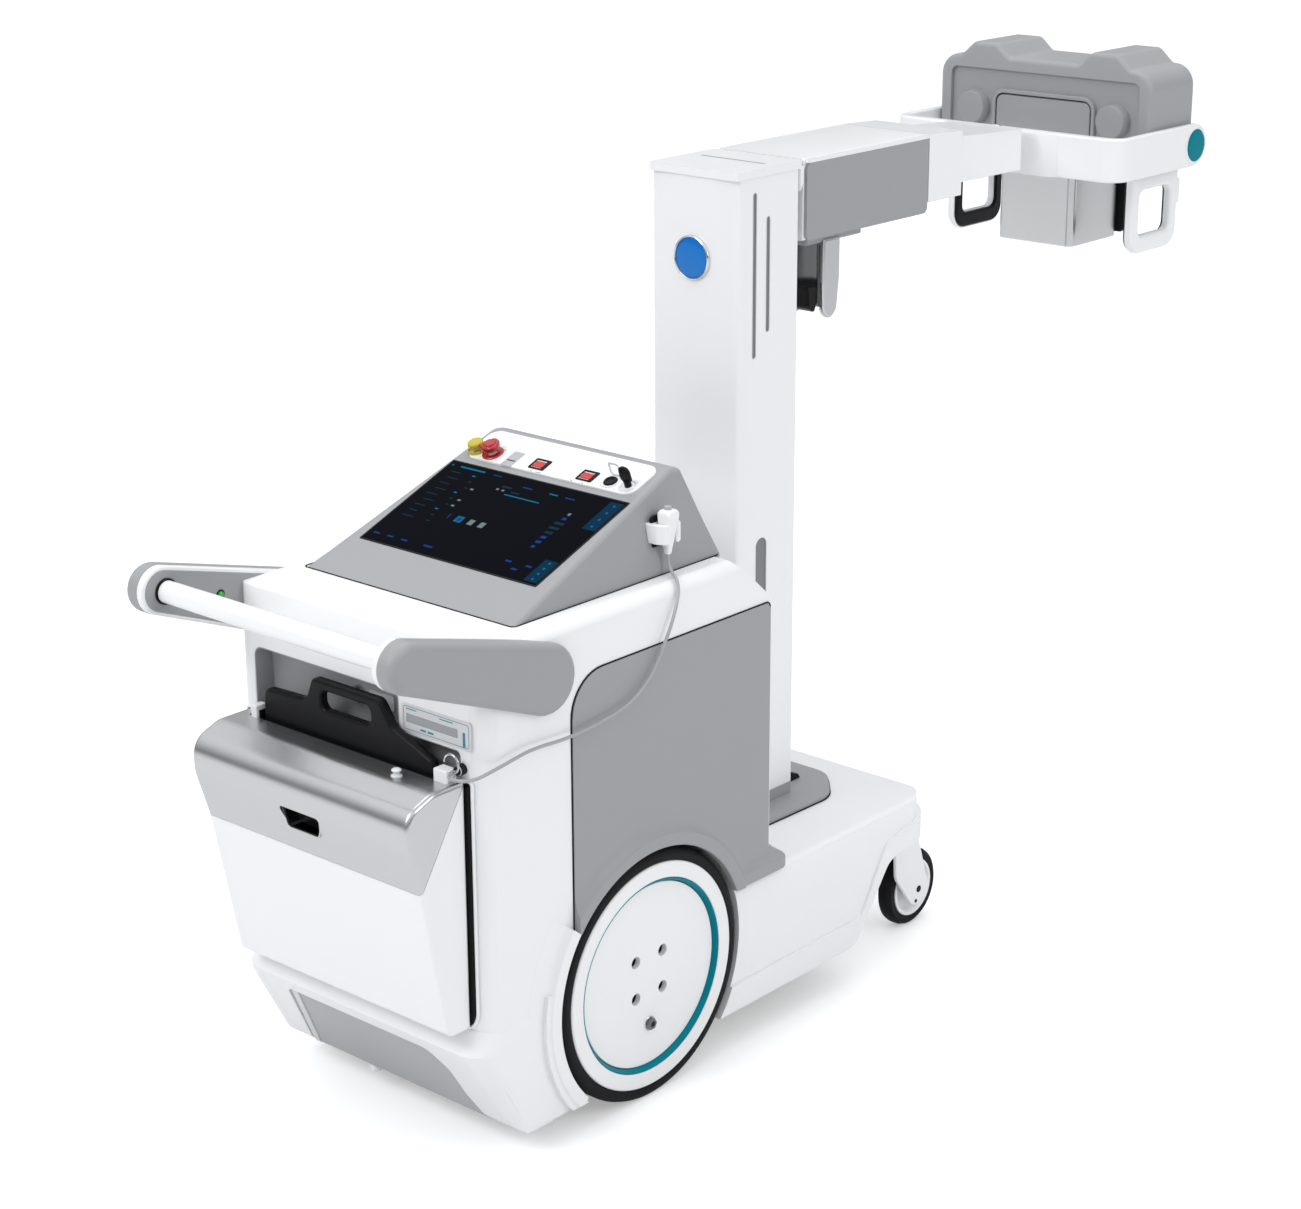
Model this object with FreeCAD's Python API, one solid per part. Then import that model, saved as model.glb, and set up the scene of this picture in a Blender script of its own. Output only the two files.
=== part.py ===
"""Mobile x-ray machine: a motor-driven cart with a console, a detector bin, a turning column,
a lifting and telescoping arm, a fork and a tilting tube head with its collimator.

Millimetres. While it is modelled, X runs forward from the drive axle, Y to the left and
Z up from the floor. Every solid is moved by ORIGIN_X when it is written, so that the part's
origin is on the floor under the middle of the whole machine.
"""
import FreeCAD, Part
import math
import os

# fits
RUN = 0.05             # radial clearance of a pin or shaft that turns in its bore
SLIDE = 0.4            # gap of a sliding part in its guide
BODY_GAP = 0.3         # gap between flat faces of two moving bodies

# body and chassis
BODY_HALF = 280.0      # half width of the casing
WALL = 4.0             # casing wall
CASE_BACK = -372.0
CASE_FRONT = 318.0
CASE_TOP = 878.0
CASE_FLOOR = 50.0
DECK_Z = 298.0
COVER_FRONT = 807.0
COVER_UNDER = 225.0    # inside of the base cover's floor, in front
RAIL_LOW = 72.0
RAIL_TOP = 112.0
SHELF_Z = 345.0        # top of the shelf that carries the generator

# rear opening and detector bin
MOUTH_HALF = BODY_HALF - 48
MOUTH_LOW = 258.0
MOUTH_TOP = 775.0
MOUTH_STEP_Y = -100.0  # right of this the opening ends lower, under the label panel
MOUTH_STEP_Z = 712.0
MOUTH_DEEP = -334.0    # back wall of the recess
BIN_HALF = MOUTH_HALF + 13
BIN_INNER_HALF = MOUTH_HALF - 8
BIN_BACK = -377.0      # bin edge that faces the casing
BIN_TOP = 668.0
BIN_LOW = 255.0
BIN_SILL = (-474.0, 512.0)   # x and z of the edge between the white front and the silver lid
BIN_WALL = 4.0
HINGE_X = -384.0
HINGE_Z = 248.0
HINGE_R = 4.0
DETECTOR_X = (-392.0, -374.0)
DETECTOR_HALF = MOUTH_HALF - 40
DETECTOR_Z = (266.3, 722.0)
CARRY_TOP = 766.0      # top of the detector holder's carrying grip

# drive wheels
WHEEL_R = 218.0
RIM_R = 196.0
DISC_R = 160.0
WHEEL_OUT = BODY_HALF + 8
WHEEL_IN = WHEEL_OUT - 66
HUB_IN = WHEEL_OUT - 20   # back of the white disc
ARCH_R = WHEEL_R + 12
ARCH_IN = WHEEL_IN - 16
AXLE_R = 15.0
LUG_R = 10.5
LUG_SQUARE = 66.0      # side of the square of wheel holes
SIDE_PLATE = ARCH_IN - 6     # outer face of the chassis side plates
RAIL_OUT = SIDE_PLATE - 10
RAIL_IN = RAIL_OUT - 40

# casters
CASTER_X = 773.0
CASTER_Y = BODY_HALF - 77
CASTER_TRAIL = 48.0
CASTER_R = 75.0
CASTER_STEM_R = 12.0
CASTER_PIN_R = 6.0
CASTER_TOP = 204.0
PEDAL_PIN = (728.0, 150.0)   # x and z of the brake pedal's pin
PEDAL_PIN_R = 4.0

# console
SLOPE = math.radians(21.2)
CONSOLE_FRONT = -256.0       # where the sloping face meets the casing top
CONSOLE_HALF = (BODY_HALF - 46, BODY_HALF - 81)
CONSOLE_PEAK_X = 148.0
CONSOLE_PEAK = (CONSOLE_PEAK_X, CASE_TOP + (CONSOLE_PEAK_X - CONSOLE_FRONT) * math.tan(SLOPE))
CONSOLE_BACK = 230.0
SCREEN_START = 96.5          # along the slope from the front edge
SCREEN_LONG = 232.0
SCREEN_HALF = CONSOLE_HALF[1] - 3
SCREEN_THICK = 5.0
STRIP_START = SCREEN_START + SCREEN_LONG + 15.5
STRIP_LONG = 82.0
STRIP_HALF = CONSOLE_HALF[1] - 13
STRIP_THICK = 3.0
BUTTON_ROW = STRIP_START + 21   # along the slope
ESTOP_Y = STRIP_HALF - 50
YELLOW_Y = STRIP_HALF - 14
ROCKER_Y = (30.0, -76.0)
KEY_Y = 20 - STRIP_HALF
SOCKET_Y = KEY_Y + 38
BUTTON_STEM_R = 8.0
ROCKER_R = 9.5
ROCKER_HALF = 11.0
KEY_R = 6.0

# hand switch and its lead
SWITCH_X = 95.0
SWITCH_Y = -CONSOLE_HALF[0] - 5
SWITCH_R = 11.0
SWITCH_LOW = 912.0
CORD_R = 2.8
CORD_Y = -BODY_HALF - 12       # it hangs clear of the casing's side
CLIP_X = CASE_BACK - 12
CLIP_Y = CORD_Y + 56
CORD = [
    (SWITCH_X, SWITCH_Y, SWITCH_LOW), (SWITCH_X, SWITCH_Y, 889), (76, CORD_Y + 11, 876), (50, CORD_Y, 832),
    (22, CORD_Y, 784), (-12, CORD_Y, 740), (-60, CORD_Y, 711), (-130, CORD_Y, 701), (-205, CORD_Y, 697),
    (-280, CORD_Y, 704), (-350, CORD_Y + 1, 694), (CLIP_X - 30, CORD_Y + 2, 688), (CLIP_X - 33, CLIP_Y, 685),
    (CLIP_X, CLIP_Y, 685),
]

# push handle
BAR_X = -523.0
BAR_Z = 898.0
BAR_R = 18.0
ARM_REAR = (-530.0, 900.0, 40.0)     # x, z and radius of the arm's rear end
ARM_FRONT = (-240.0, 803.0, 57.0)
ARM_Y = (BODY_HALF - 25, BODY_HALF + 20)
COVER_INSET = 7.0

# column
TURN_X = 519.5
COLUMN_BACK = TURN_X - 83.5
COLUMN_FRONT = TURN_X + 84.5
COLUMN_HALF = 96.0
COLUMN_WALL = 6.0
COLUMN_LOW = 327.0
COLUMN_TOP = 1446.0
CAP_TOP = COLUMN_TOP + 14
PLATE_TOP = 305.0
SPIGOT_R = 45.0
SLOT_HALF = 58.0       # the slot that the arm's carriage comes out of
LIFT = 750.0

# arm
ARM_LENGTH = 359.0
ARM_X = (COLUMN_FRONT + 14, COLUMN_FRONT + 14 + ARM_LENGTH)
ARM_HALF = COLUMN_HALF - 4
ARM_TOP = CAP_TOP
ARM_LOW = ARM_TOP - 141
ARM_WALL = 5.0
PANEL_Y = ARM_HALF + 6
RAIL_UNDER = ARM_TOP - 7      # underside of the white edge over the side panels
BLOCK_X = (ARM_X[1] + 0.5, ARM_X[1] + 103)
NECK_END = BLOCK_X[1] + 226
EXTEND = 260.0
ROLL_Z = ARM_LOW + 66
ROLL_R = 20.0

# fork, head and collimator
FORK_BACK = NECK_END + 29
FORK_WALL = (FORK_BACK + 15, FORK_BACK + 40)
HEAD_HALF = 243.0
FORK_ARM_IN = HEAD_HALF + 4
FORK_HALF = FORK_ARM_IN + 15
TILT_X = FORK_BACK + 293
TILT_Z = ROLL_Z - 7
FORK_TIP_R = 41.0
TILT_PIN_R = 14.0
CAP_R = 31.0
HEAD_X = (TILT_X - 141, TILT_X + 22)
HEAD_LOW = TILT_Z - 48
HEAD_SHOULDER = TILT_Z + 152
HEAD_TOP = HEAD_SHOULDER + 27
HEAD_WALL = 6.0
GRIP_Y = (HEAD_HALF - 48, HEAD_HALF - 26)
GRIP_X = (HEAD_X[0] - 2, HEAD_X[1] + 1)
GRIP_LOW = HEAD_LOW - 154
TURN2_X = TILT_X - 68  # the collimator's own turning axis
BOX_X = (TILT_X - 153, TILT_X + 17)
BOX_HALF = 87.0
BOX_TOP = HEAD_LOW - 14
BOX_LOW = BOX_TOP - 138
NECK_R = 48.0
PANEL_FRONT = BOX_X[1] + 12
KNOB_Y = 45.0
KNOB_Z = BOX_LOW + 38
KNOB_R = 13.0
KNOB_STEM_R = 4.0
LAMP_R = 6.0           # radius of the lamp button

ORIGIN_X = (ARM_REAR[0] - ARM_REAR[2] + TILT_X + FORK_TIP_R) / 2


def box(x0, x1, y0, y1, z0, z1):
    return Part.makeBox(x1 - x0, y1 - y0, z1 - z0, FreeCAD.Vector(x0, y0, z0))


def outline(points):
    """Closed outline in a plane: each point is (a, b) or (a, b, corner radius)."""
    corners = [FreeCAD.Vector(p[0], p[1], 0) for p in points]
    starts, ends, middles = [], [], []
    for i, here in enumerate(corners):
        radius = points[i][2] if len(points[i]) > 2 else 0
        to_last = (corners[i - 1] - here).normalize()
        to_next = (corners[(i + 1) % len(corners)] - here).normalize()
        half = to_last.getAngle(to_next) / 2
        cut = radius / math.tan(half)
        starts.append(here + to_last * cut)
        ends.append(here + to_next * cut)
        inward = (to_last + to_next).normalize() if radius else to_last
        middles.append(here + inward * (radius / math.sin(half) - radius))
    edges = []
    for i in range(len(corners)):
        if (ends[i] - starts[i]).Length > 1e-6:
            edges.append(Part.Arc(starts[i], middles[i], ends[i]).toShape())
        after = starts[(i + 1) % len(corners)]
        if (after - ends[i]).Length > 1e-6:
            edges.append(Part.makeLine(ends[i], after))
    return Part.Face(Part.Wire(edges))


def prism(axis, points, start, end):
    """Solid from an outline given in the plane across axis: (y, z), (x, z) or (x, y)."""
    face = outline(points)
    if axis == "x":
        face.Placement = FreeCAD.Placement(FreeCAD.Matrix(0, 0, 1, start, 1, 0, 0, 0, 0, 1, 0, 0))
        return face.extrude(FreeCAD.Vector(end - start, 0, 0))
    if axis == "y":
        face.Placement = FreeCAD.Placement(FreeCAD.Matrix(1, 0, 0, 0, 0, 0, -1, end, 0, 1, 0, 0))
        return face.extrude(FreeCAD.Vector(0, start - end, 0))
    face.Placement = FreeCAD.Placement(FreeCAD.Matrix(1, 0, 0, 0, 0, 1, 0, 0, 0, 0, 1, start))
    return face.extrude(FreeCAD.Vector(0, 0, end - start))


def rect(a0, a1, b0, b1, r=0.0):
    return [(a0, b0, r), (a1, b0, r), (a1, b1, r), (a0, b1, r)]


def rod(axis, a, b, start, end, r):
    """Cylinder along axis through (a, b) of the plane across it."""
    low, high = min(start, end), max(start, end)
    if axis == "x":
        return Part.makeCylinder(r, high - low, FreeCAD.Vector(low, a, b), FreeCAD.Vector(1, 0, 0))
    if axis == "y":
        return Part.makeCylinder(r, high - low, FreeCAD.Vector(a, low, b), FreeCAD.Vector(0, 1, 0))
    return Part.makeCylinder(r, high - low, FreeCAD.Vector(a, b, low))


def mirrored(shape):
    return shape.mirror(FreeCAD.Vector(0, 0, 0), FreeCAD.Vector(0, 1, 0))


def both(shape):
    """The right-hand piece and its mirror image on the left."""
    return Part.makeCompound([shape, mirrored(shape)])


def stadium(first, second, inset, start, end):
    """Prism along Y round two circles (x, z, r) and their common tangents."""
    x1, z1, r1 = first[0], first[1], first[2] - inset
    x2, z2, r2 = second[0], second[1], second[2] - inset
    along = math.atan2(z2 - z1, x2 - x1)
    lean = math.acos((r1 - r2) / math.hypot(x2 - x1, z2 - z1))
    points = []
    for angle, x, z, r in (
        (along + lean, x1, z1, r1), (along + lean, x2, z2, r2), (along, x2, z2, r2),
        (along - lean, x2, z2, r2), (along - lean, x1, z1, r1), (along + math.pi, x1, z1, r1),
    ):
        points.append(FreeCAD.Vector(x + r * math.cos(angle), start, z + r * math.sin(angle)))
    wire = Part.Wire([
        Part.makeLine(points[0], points[1]),
        Part.Arc(points[1], points[2], points[3]).toShape(),
        Part.makeLine(points[3], points[4]),
        Part.Arc(points[4], points[5], points[0]).toShape(),
    ])
    return Part.Face(wire).extrude(FreeCAD.Vector(0, end - start, 0))


def on_slope(shape):
    """Move a shape from (along the slope, y, out of the slope) to the console's sloping face."""
    turned = shape.copy()
    turned.rotate(FreeCAD.Vector(0, 0, 0), FreeCAD.Vector(0, 1, 0), -math.degrees(SLOPE))
    turned.translate(FreeCAD.Vector(CONSOLE_FRONT, 0, CASE_TOP))
    return turned


def slope_point(along, y, out):
    x = CONSOLE_FRONT + along * math.cos(SLOPE) - out * math.sin(SLOPE)
    z = CASE_TOP + along * math.sin(SLOPE) + out * math.cos(SLOPE)
    return (x, y, z)


def arches(grow=0.0):
    """The space of both drive wheels in the body sides."""
    return both(rod("y", 0, WHEEL_R, -BODY_HALF - 40, -ARCH_IN - grow, ARCH_R + grow))


def case_solid(inset=0.0):
    """The casing's outer form, or the space inside its walls."""
    r = 8.0
    floor = CASE_FLOOR - (10 if inset else 0)
    side = [
        (-290 + inset, floor, r), (CASE_BACK + inset, 205, r), (CASE_BACK + inset, CASE_TOP - inset, r),
        (215, CASE_TOP - inset, r), (CASE_FRONT - inset, 786 - inset / 2, r), (CASE_FRONT - inset, DECK_Z),
        (120, DECK_Z), (120, floor),
    ]
    back, front, half = CASE_BACK + inset, CASE_FRONT - inset, BODY_HALF - inset
    plan = [
        (back, -half, 40 - inset), (front, -half, 14 - inset), (front, half, 14 - inset), (back, half, 40 - inset),
    ]
    end = [
        (-BODY_HALF + inset, 0), (BODY_HALF - inset, 0), (BODY_HALF - inset, CASE_TOP - inset, 30 - inset),
        (-BODY_HALF + inset, CASE_TOP - inset, 30 - inset),
    ]
    solid = prism("y", side, -BODY_HALF, BODY_HALF)
    solid = solid.common(prism("z", plan, 0, CASE_TOP))
    return solid.common(prism("x", end, CASE_BACK, CASE_FRONT))


def mouth(grow, x0, x1):
    """The stepped opening in the casing's rear face."""
    top, low = MOUTH_TOP + grow, MOUTH_LOW - grow
    left, right = MOUTH_HALF + grow, -MOUTH_HALF - grow
    points = [
        (left, low, 10), (left, top, 18), (MOUTH_STEP_Y - grow, top, 12),
        (MOUTH_STEP_Y - grow, MOUTH_STEP_Z + grow, 6), (right, MOUTH_STEP_Z + grow, 10), (right, low, 10),
    ]
    return prism("x", points, x0, x1)


def rear_casing():
    outer = case_solid()
    shell = outer.cut(case_solid(WALL))
    shell = shell.fuse(mouth(WALL, CASE_BACK + 2, MOUTH_DEEP + WALL).common(outer))
    shell = shell.cut(mouth(0, CASE_BACK - 10, MOUTH_DEEP))
    liner = arches(WALL).common(outer)
    lip = rod("y", 0, WHEEL_R, -BODY_HALF - 10, -BODY_HALF, 258)
    lip = lip.common(box(-300, -150, -BODY_HALF - 10, -BODY_HALF, CASE_FLOOR + 4, 275))
    shell = shell.fuse(liner).fuse(both(lip)).cut(arches())
    shell = shell.cut(rod("y", 0, WHEEL_R, -BODY_HALF, BODY_HALF, 60))
    cord_clip = rod("x", CORD[-1][1], CORD[-1][2], CLIP_X, CASE_BACK, 8)
    return shell.fuse(cord_clip).fuse(both(bin_hinge_ears()))


def bin_hinge_ears():
    """Two ears with a pin between them, on the casing's rear face under the bin."""
    ear = [
        (CASE_BACK + 2, HINGE_Z - 18), (HINGE_X - 5, HINGE_Z - 5, 4), (HINGE_X - 5, HINGE_Z + 5, 4),
        (CASE_BACK + 2, HINGE_Z + 5),
    ]
    ears = prism("y", ear, -138, -130).fuse(prism("y", ear, -170, -162))
    return ears.fuse(rod("y", HINGE_X, HINGE_Z, -166, -134, HINGE_R))


def side_panels():
    sheet = [
        (-180, 787, 70), (-180, 300), (CASE_FRONT - 14, 300), (CASE_FRONT - 14, 787, 8),
    ]
    panel = prism("y", sheet, -BODY_HALF - 3, -BODY_HALF)
    lip = rod("y", 0, WHEEL_R, -BODY_HALF - 10, -BODY_HALF, 258)
    lip = lip.common(box(-180, 300, -BODY_HALF - 10, -BODY_HALF, 300, 500))
    toe = [(290, 372), (CASE_FRONT, 366, 8), (353, 322, 10), (353, DECK_Z + 0.5), (290, DECK_Z + 0.5)]
    foot = prism("y", toe, -BODY_HALF - 3, 44 - BODY_HALF)
    foot = foot.cut(box(200, CASE_FRONT, -BODY_HALF, 80 - BODY_HALF, 200, 500))
    panel = panel.fuse(lip).fuse(foot).cut(arches())
    return both(panel)


def rear_bumper():
    """Sloping grey plate under the detector bin."""
    side = [(-300, 54, 4), (-304, 60, 4), (-388, 206, 6), (-374, 214, 4), (-288, 62, 4)]
    half = MOUTH_HALF + 8
    return prism("y", side, -half, half).cut(case_solid())


def cover_solid(inset=0.0):
    """The cover's form inside its raised band, or the space inside its walls."""
    if inset:
        sweep = [(150, 50), (535, 50, 30), (632, COVER_UNDER, 30)]
    else:
        sweep = [(150, 74), (550, 74, 46), (648, COVER_UNDER - 6, 30)]
    under = sweep[2][1]
    front, top = 792 - inset, DECK_Z - inset
    side = sweep + [(front, under, 10 - inset), (front, top, 0 if inset else 14), (150, top)]
    solid = prism("y", side, -BODY_HALF + inset, BODY_HALF - inset)
    plan = [
        (150, -BODY_HALF + inset), (792 - inset, -BODY_HALF + inset, 78 - inset),
        (792 - inset, BODY_HALF - inset, 78 - inset), (150, BODY_HALF - inset),
    ]
    solid = solid.common(prism("z", plan, 40, DECK_Z))
    end = [(-BODY_HALF, 40), (BODY_HALF, 40), (BODY_HALF, DECK_Z, 14), (-BODY_HALF, DECK_Z, 14)]
    return solid if inset else solid.common(prism("x", end, 150, COVER_FRONT))


def base_cover():
    """Front base cover with the raised band that sweeps up to the front rim."""
    band = [
        (150, 70), (555, 70, 50), (655, 206, 45), (788, 217, 15), (COVER_FRONT, 230, 10), (COVER_FRONT, 262, 8),
        (779, 260), (712, 254, 30), (644, 240, 40), (572, 120, 40), (150, 118),
    ]
    half = BODY_HALF + 5
    plan = [(150, -half), (COVER_FRONT, -half, 88), (COVER_FRONT, half, 88), (150, half)]
    raised = prism("y", band, -half, half).common(prism("z", plan, 60, DECK_Z))
    cover = cover_solid().fuse(raised)
    cover = cover.cut(cover_solid(5.0))
    liner = arches(WALL).common(box(150, 300, -BODY_HALF + 1, BODY_HALF - 1, 70, DECK_Z - 1))
    cover = cover.fuse(liner).cut(arches())
    cover = cover.cut(rod("y", 0, WHEEL_R, -BODY_HALF, BODY_HALF, 160))
    for side in (-1, 1):
        cover = cover.cut(rod("z", CASTER_X, side * CASTER_Y, 200, 256, 24))
    cover = cover.cut(box(140, 304, -SIDE_PLATE - 4, SIDE_PLATE + 4, 240, DECK_Z + 1))
    return cover.cut(rod("z", TURN_X, 0, 280, DECK_Z + 1, 80))


def chassis_frame():
    rail = box(-280, 520, -RAIL_OUT, -RAIL_IN, RAIL_LOW, RAIL_TOP)
    frame = rail.fuse(mirrored(rail))
    for x0, x1 in ((-280, -240), (60, 110), (440, 520)):
        frame = frame.fuse(box(x0, x1, -RAIL_OUT, RAIL_OUT, RAIL_LOW, RAIL_TOP))
    inner = SIDE_PLATE - 8
    plate = box(-115, 115, -SIDE_PLATE, -inner, RAIL_LOW, SHELF_Z)
    plate = plate.cut(rod("y", 0, WHEEL_R, -SIDE_PLATE, -inner, 40))
    gusset = box(-115, 115, -inner, -RAIL_IN, RAIL_LOW, RAIL_TOP)
    frame = frame.fuse(plate).fuse(mirrored(plate)).fuse(gusset).fuse(mirrored(gusset))
    shelf = box(-290, 300, -inner, inner, SHELF_Z - 12, SHELF_Z)
    bulkhead = box(-290, -280, -RAIL_OUT, RAIL_OUT, RAIL_LOW, SHELF_Z)
    front_leg = box(290, 300, -RAIL_OUT, RAIL_OUT, RAIL_LOW, SHELF_Z)
    frame = frame.fuse(shelf).fuse(bulkhead).fuse(front_leg)
    tab = box(240, 300, -BODY_HALF + WALL, -RAIL_OUT, SHELF_Z - 12, SHELF_Z)
    frame = frame.fuse(tab).fuse(mirrored(tab))
    half = BODY_HALF - 18
    deck = prism("z", [(430, -half), (780, -half, 74), (780, half, 74), (430, half)], COVER_UNDER, 250)
    post = box(440, 540, -110, 110, RAIL_TOP, COVER_UNDER)
    ring_seat = rod("z", TURN_X, 0, 250, 262, 80)
    frame = frame.fuse(deck).fuse(post).fuse(ring_seat)
    for side in (-1, 1):
        boss = rod("z", CASTER_X, side * CASTER_Y, CASTER_TOP + 8, 256, 24)
        frame = frame.fuse(boss)
    for side in (-1, 1):
        frame = frame.cut(rod("z", CASTER_X, side * CASTER_Y, 190, 290, CASTER_STEM_R + RUN))
    return frame.cut(rod("z", TURN_X, 0, 240, 270, 50))


def console_housing():
    def form(inset, top_inset):
        base = CASE_TOP - (10 if inset else 0)
        rise = top_inset / math.cos(SLOPE)
        start = CONSOLE_FRONT - (10 / math.tan(SLOPE) if inset else 0)
        side = [
            (start, base - rise), (CONSOLE_PEAK[0], CONSOLE_PEAK[1] - rise, 8),
            (CONSOLE_PEAK[0] + 24 - inset, CONSOLE_PEAK[1] - 4 - rise, 6), (CONSOLE_BACK - inset, CASE_TOP),
            (CONSOLE_BACK - inset, base - rise - 1),
        ]
        low, high = CONSOLE_HALF
        end = [
            (-low + inset, CASE_TOP - 60), (-low + inset, CASE_TOP),
            (-high + inset, CONSOLE_PEAK[1] - rise, 14), (high - inset, CONSOLE_PEAK[1] - rise, 14),
            (low - inset, CASE_TOP), (low - inset, CASE_TOP - 60),
        ]
        solid = prism("y", side, -low, low).common(prism("x", end, -300, CONSOLE_BACK))
        plan = rect(CONSOLE_FRONT - 60, CONSOLE_BACK - inset, -low + inset, low - inset, 24)
        return solid.common(prism("z", plan, CASE_TOP, 1100))
    shell = form(0, 0).cut(form(4, 16))
    pocket = box(SCREEN_START, SCREEN_START + SCREEN_LONG, -SCREEN_HALF, SCREEN_HALF, -SCREEN_THICK, 5)
    shell = shell.cut(on_slope(pocket))
    for y in (ESTOP_Y, YELLOW_Y):
        shell = shell.cut(on_slope(rod("z", BUTTON_ROW, y, -30, 5, BUTTON_STEM_R + 1)))
    for y in ROCKER_Y:
        shell = shell.cut(on_slope(rocker_well(y, -20, 5)))
        shell = shell.fuse(on_slope(rocker_cup(y)))
    return shell.cut(on_slope(rod("z", BUTTON_ROW, KEY_Y, -30, 5, KEY_R + 1)))


def rocker_well(y, low, high):
    side, reach = ROCKER_R + 0.4, ROCKER_HALF + SLIDE
    return box(BUTTON_ROW - side, BUTTON_ROW + side, y - reach, y + reach, low, high)


def rocker_cup(y):
    """Cup under the console face that a rocker turns in."""
    reach = ROCKER_HALF + SLIDE
    cup = box(BUTTON_ROW - 13, BUTTON_ROW + 13, y - reach - 2, y + reach + 2, -15, -2)
    cup = cup.cut(rod("y", BUTTON_ROW, -2, y - reach, y + reach, ROCKER_R + 0.1))
    return cup.cut(box(BUTTON_ROW - 9, BUTTON_ROW + 9, y - reach, y + reach, -2, 0))


def control_strip():
    plate = prism("z", rect(STRIP_START, STRIP_START + STRIP_LONG, -STRIP_HALF, STRIP_HALF, 20), 0, STRIP_THICK)
    for y in (ESTOP_Y, YELLOW_Y):
        plate = plate.cut(rod("z", BUTTON_ROW, y, -1, 5, BUTTON_STEM_R + RUN))
    for y in ROCKER_Y:
        plate = plate.cut(rocker_well(y, -1, 5))
    plate = plate.cut(rod("z", BUTTON_ROW, KEY_Y, -1, 5, KEY_R + RUN))
    socket = rod("z", BUTTON_ROW, SOCKET_Y, STRIP_THICK, STRIP_THICK + 5, 11)
    socket = socket.cut(rod("z", BUTTON_ROW, SOCKET_Y, STRIP_THICK + 1, 10, 7))
    plate = plate.fuse(socket).cut(box(BUTTON_ROW - 22, BUTTON_ROW + 14, 80, 96, STRIP_THICK - 1, 5))
    return on_slope(plate)


def push_button(y, head_r):
    """Mushroom button: stem in the strip's bore, domed head above it."""
    stem = rod("z", BUTTON_ROW, y, -14, 12, BUTTON_STEM_R)
    head = rod("z", BUTTON_ROW, y, 10, 18, head_r)
    dome = Part.makeSphere(head_r * 1.6, FreeCAD.Vector(BUTTON_ROW, y, 24 - head_r * 1.6))
    dome = dome.common(rod("z", BUTTON_ROW, y, 17, 30, head_r))
    return on_slope(stem.fuse(head).fuse(dome))


def rocker(y):
    turn = rod("y", BUTTON_ROW, -2, y - ROCKER_HALF, y + ROCKER_HALF, ROCKER_R)
    for lean in (-1, 1):
        knife = box(0, 30, y - 20, y + 20, 3.5, 20)
        knife.rotate(FreeCAD.Vector(0, y, 3.5), FreeCAD.Vector(0, 1, 0), -8)
        if lean < 0:
            knife = knife.mirror(FreeCAD.Vector(0, 0, 0), FreeCAD.Vector(1, 0, 0))
        knife.translate(FreeCAD.Vector(BUTTON_ROW, 0, 0))
        turn = turn.cut(knife)
    return on_slope(turn)


def mode_key():
    shaft = rod("z", BUTTON_ROW, KEY_Y, -14, 14, KEY_R)
    bow = prism("x", rect(KEY_Y - 11, KEY_Y + 11, 10, 40, 9), BUTTON_ROW - 2, BUTTON_ROW + 2)
    return on_slope(shaft.fuse(bow))


def touch_screen():
    return on_slope(
        box(SCREEN_START, SCREEN_START + SCREEN_LONG, -SCREEN_HALF, SCREEN_HALF, -SCREEN_THICK, 0)
    )


def console_side():
    """Outer form of the console's side, for the hand switch holder to sit on."""
    low, high = CONSOLE_HALF
    end = [(-low, CASE_TOP), (-high, CONSOLE_PEAK[1]), (0, CONSOLE_PEAK[1]), (0, CASE_TOP)]
    return prism("x", end, -300, CONSOLE_BACK)


def handswitch_holder():
    block = prism("z", rect(SWITCH_X - 24, SWITCH_X + 24, SWITCH_Y - 16, SWITCH_Y + 39, 8), 932, 964)
    block = block.cut(console_side()).cut(rod("z", SWITCH_X, SWITCH_Y, 920, 970, SWITCH_R + BODY_GAP))
    return block.cut(box(SWITCH_X - 7, SWITCH_X + 7, SWITCH_Y - 20, SWITCH_Y, 920, 970))


def handswitch_body():
    body = rod("z", SWITCH_X, SWITCH_Y, 924, 972, SWITCH_R)
    head = prism("z", rect(SWITCH_X - 22, SWITCH_X + 16, SWITCH_Y - 15, SWITCH_Y + 13, 9), 964, 986)
    relief = rod("z", SWITCH_X, SWITCH_Y, SWITCH_LOW, 924, 5.5)
    return body.fuse(head).fuse(relief).cut(rod("z", SWITCH_X, SWITCH_Y, 976, 990, 6.05))


def cord_path(points):
    """Straight runs joined by tangent arcs; gives the wire and each arc's radius."""
    spots = [FreeCAD.Vector(*p) for p in points]
    edges, radii, last = [], [], spots[0]
    for before, here, after in zip(spots, spots[1:], spots[2:]):
        back, onward = before - here, after - here
        cut = 0.45 * min(back.Length, onward.Length)
        half_turn = (math.pi - back.getAngle(onward)) / 2
        radius = cut / math.tan(half_turn)
        start = here + back.normalize() * cut
        end = here + onward.normalize() * cut
        middle = here + (back + onward).normalize() * (radius / math.cos(half_turn) - radius)
        edges.append(Part.makeLine(last, start))
        edges.append(Part.Arc(start, middle, end).toShape())
        radii.append(radius)
        last = end
    edges.append(Part.makeLine(last, spots[-1]))
    return Part.Wire(edges), radii


def handswitch_cord():
    path, radii = cord_path(CORD)
    first = (FreeCAD.Vector(*CORD[1]) - FreeCAD.Vector(*CORD[0])).normalize()
    ring = Part.Wire(Part.makeCircle(CORD_R, FreeCAD.Vector(*CORD[0]), first))
    tube = path.makePipeShell([ring], True, True)
    print("cord: least bend radius %.1f mm, length %.0f mm" % (min(radii), path.Length))
    print("cord: volume over section times length %.4f" % (tube.Volume / (math.pi * CORD_R ** 2 * path.Length)))
    return tube


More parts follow.
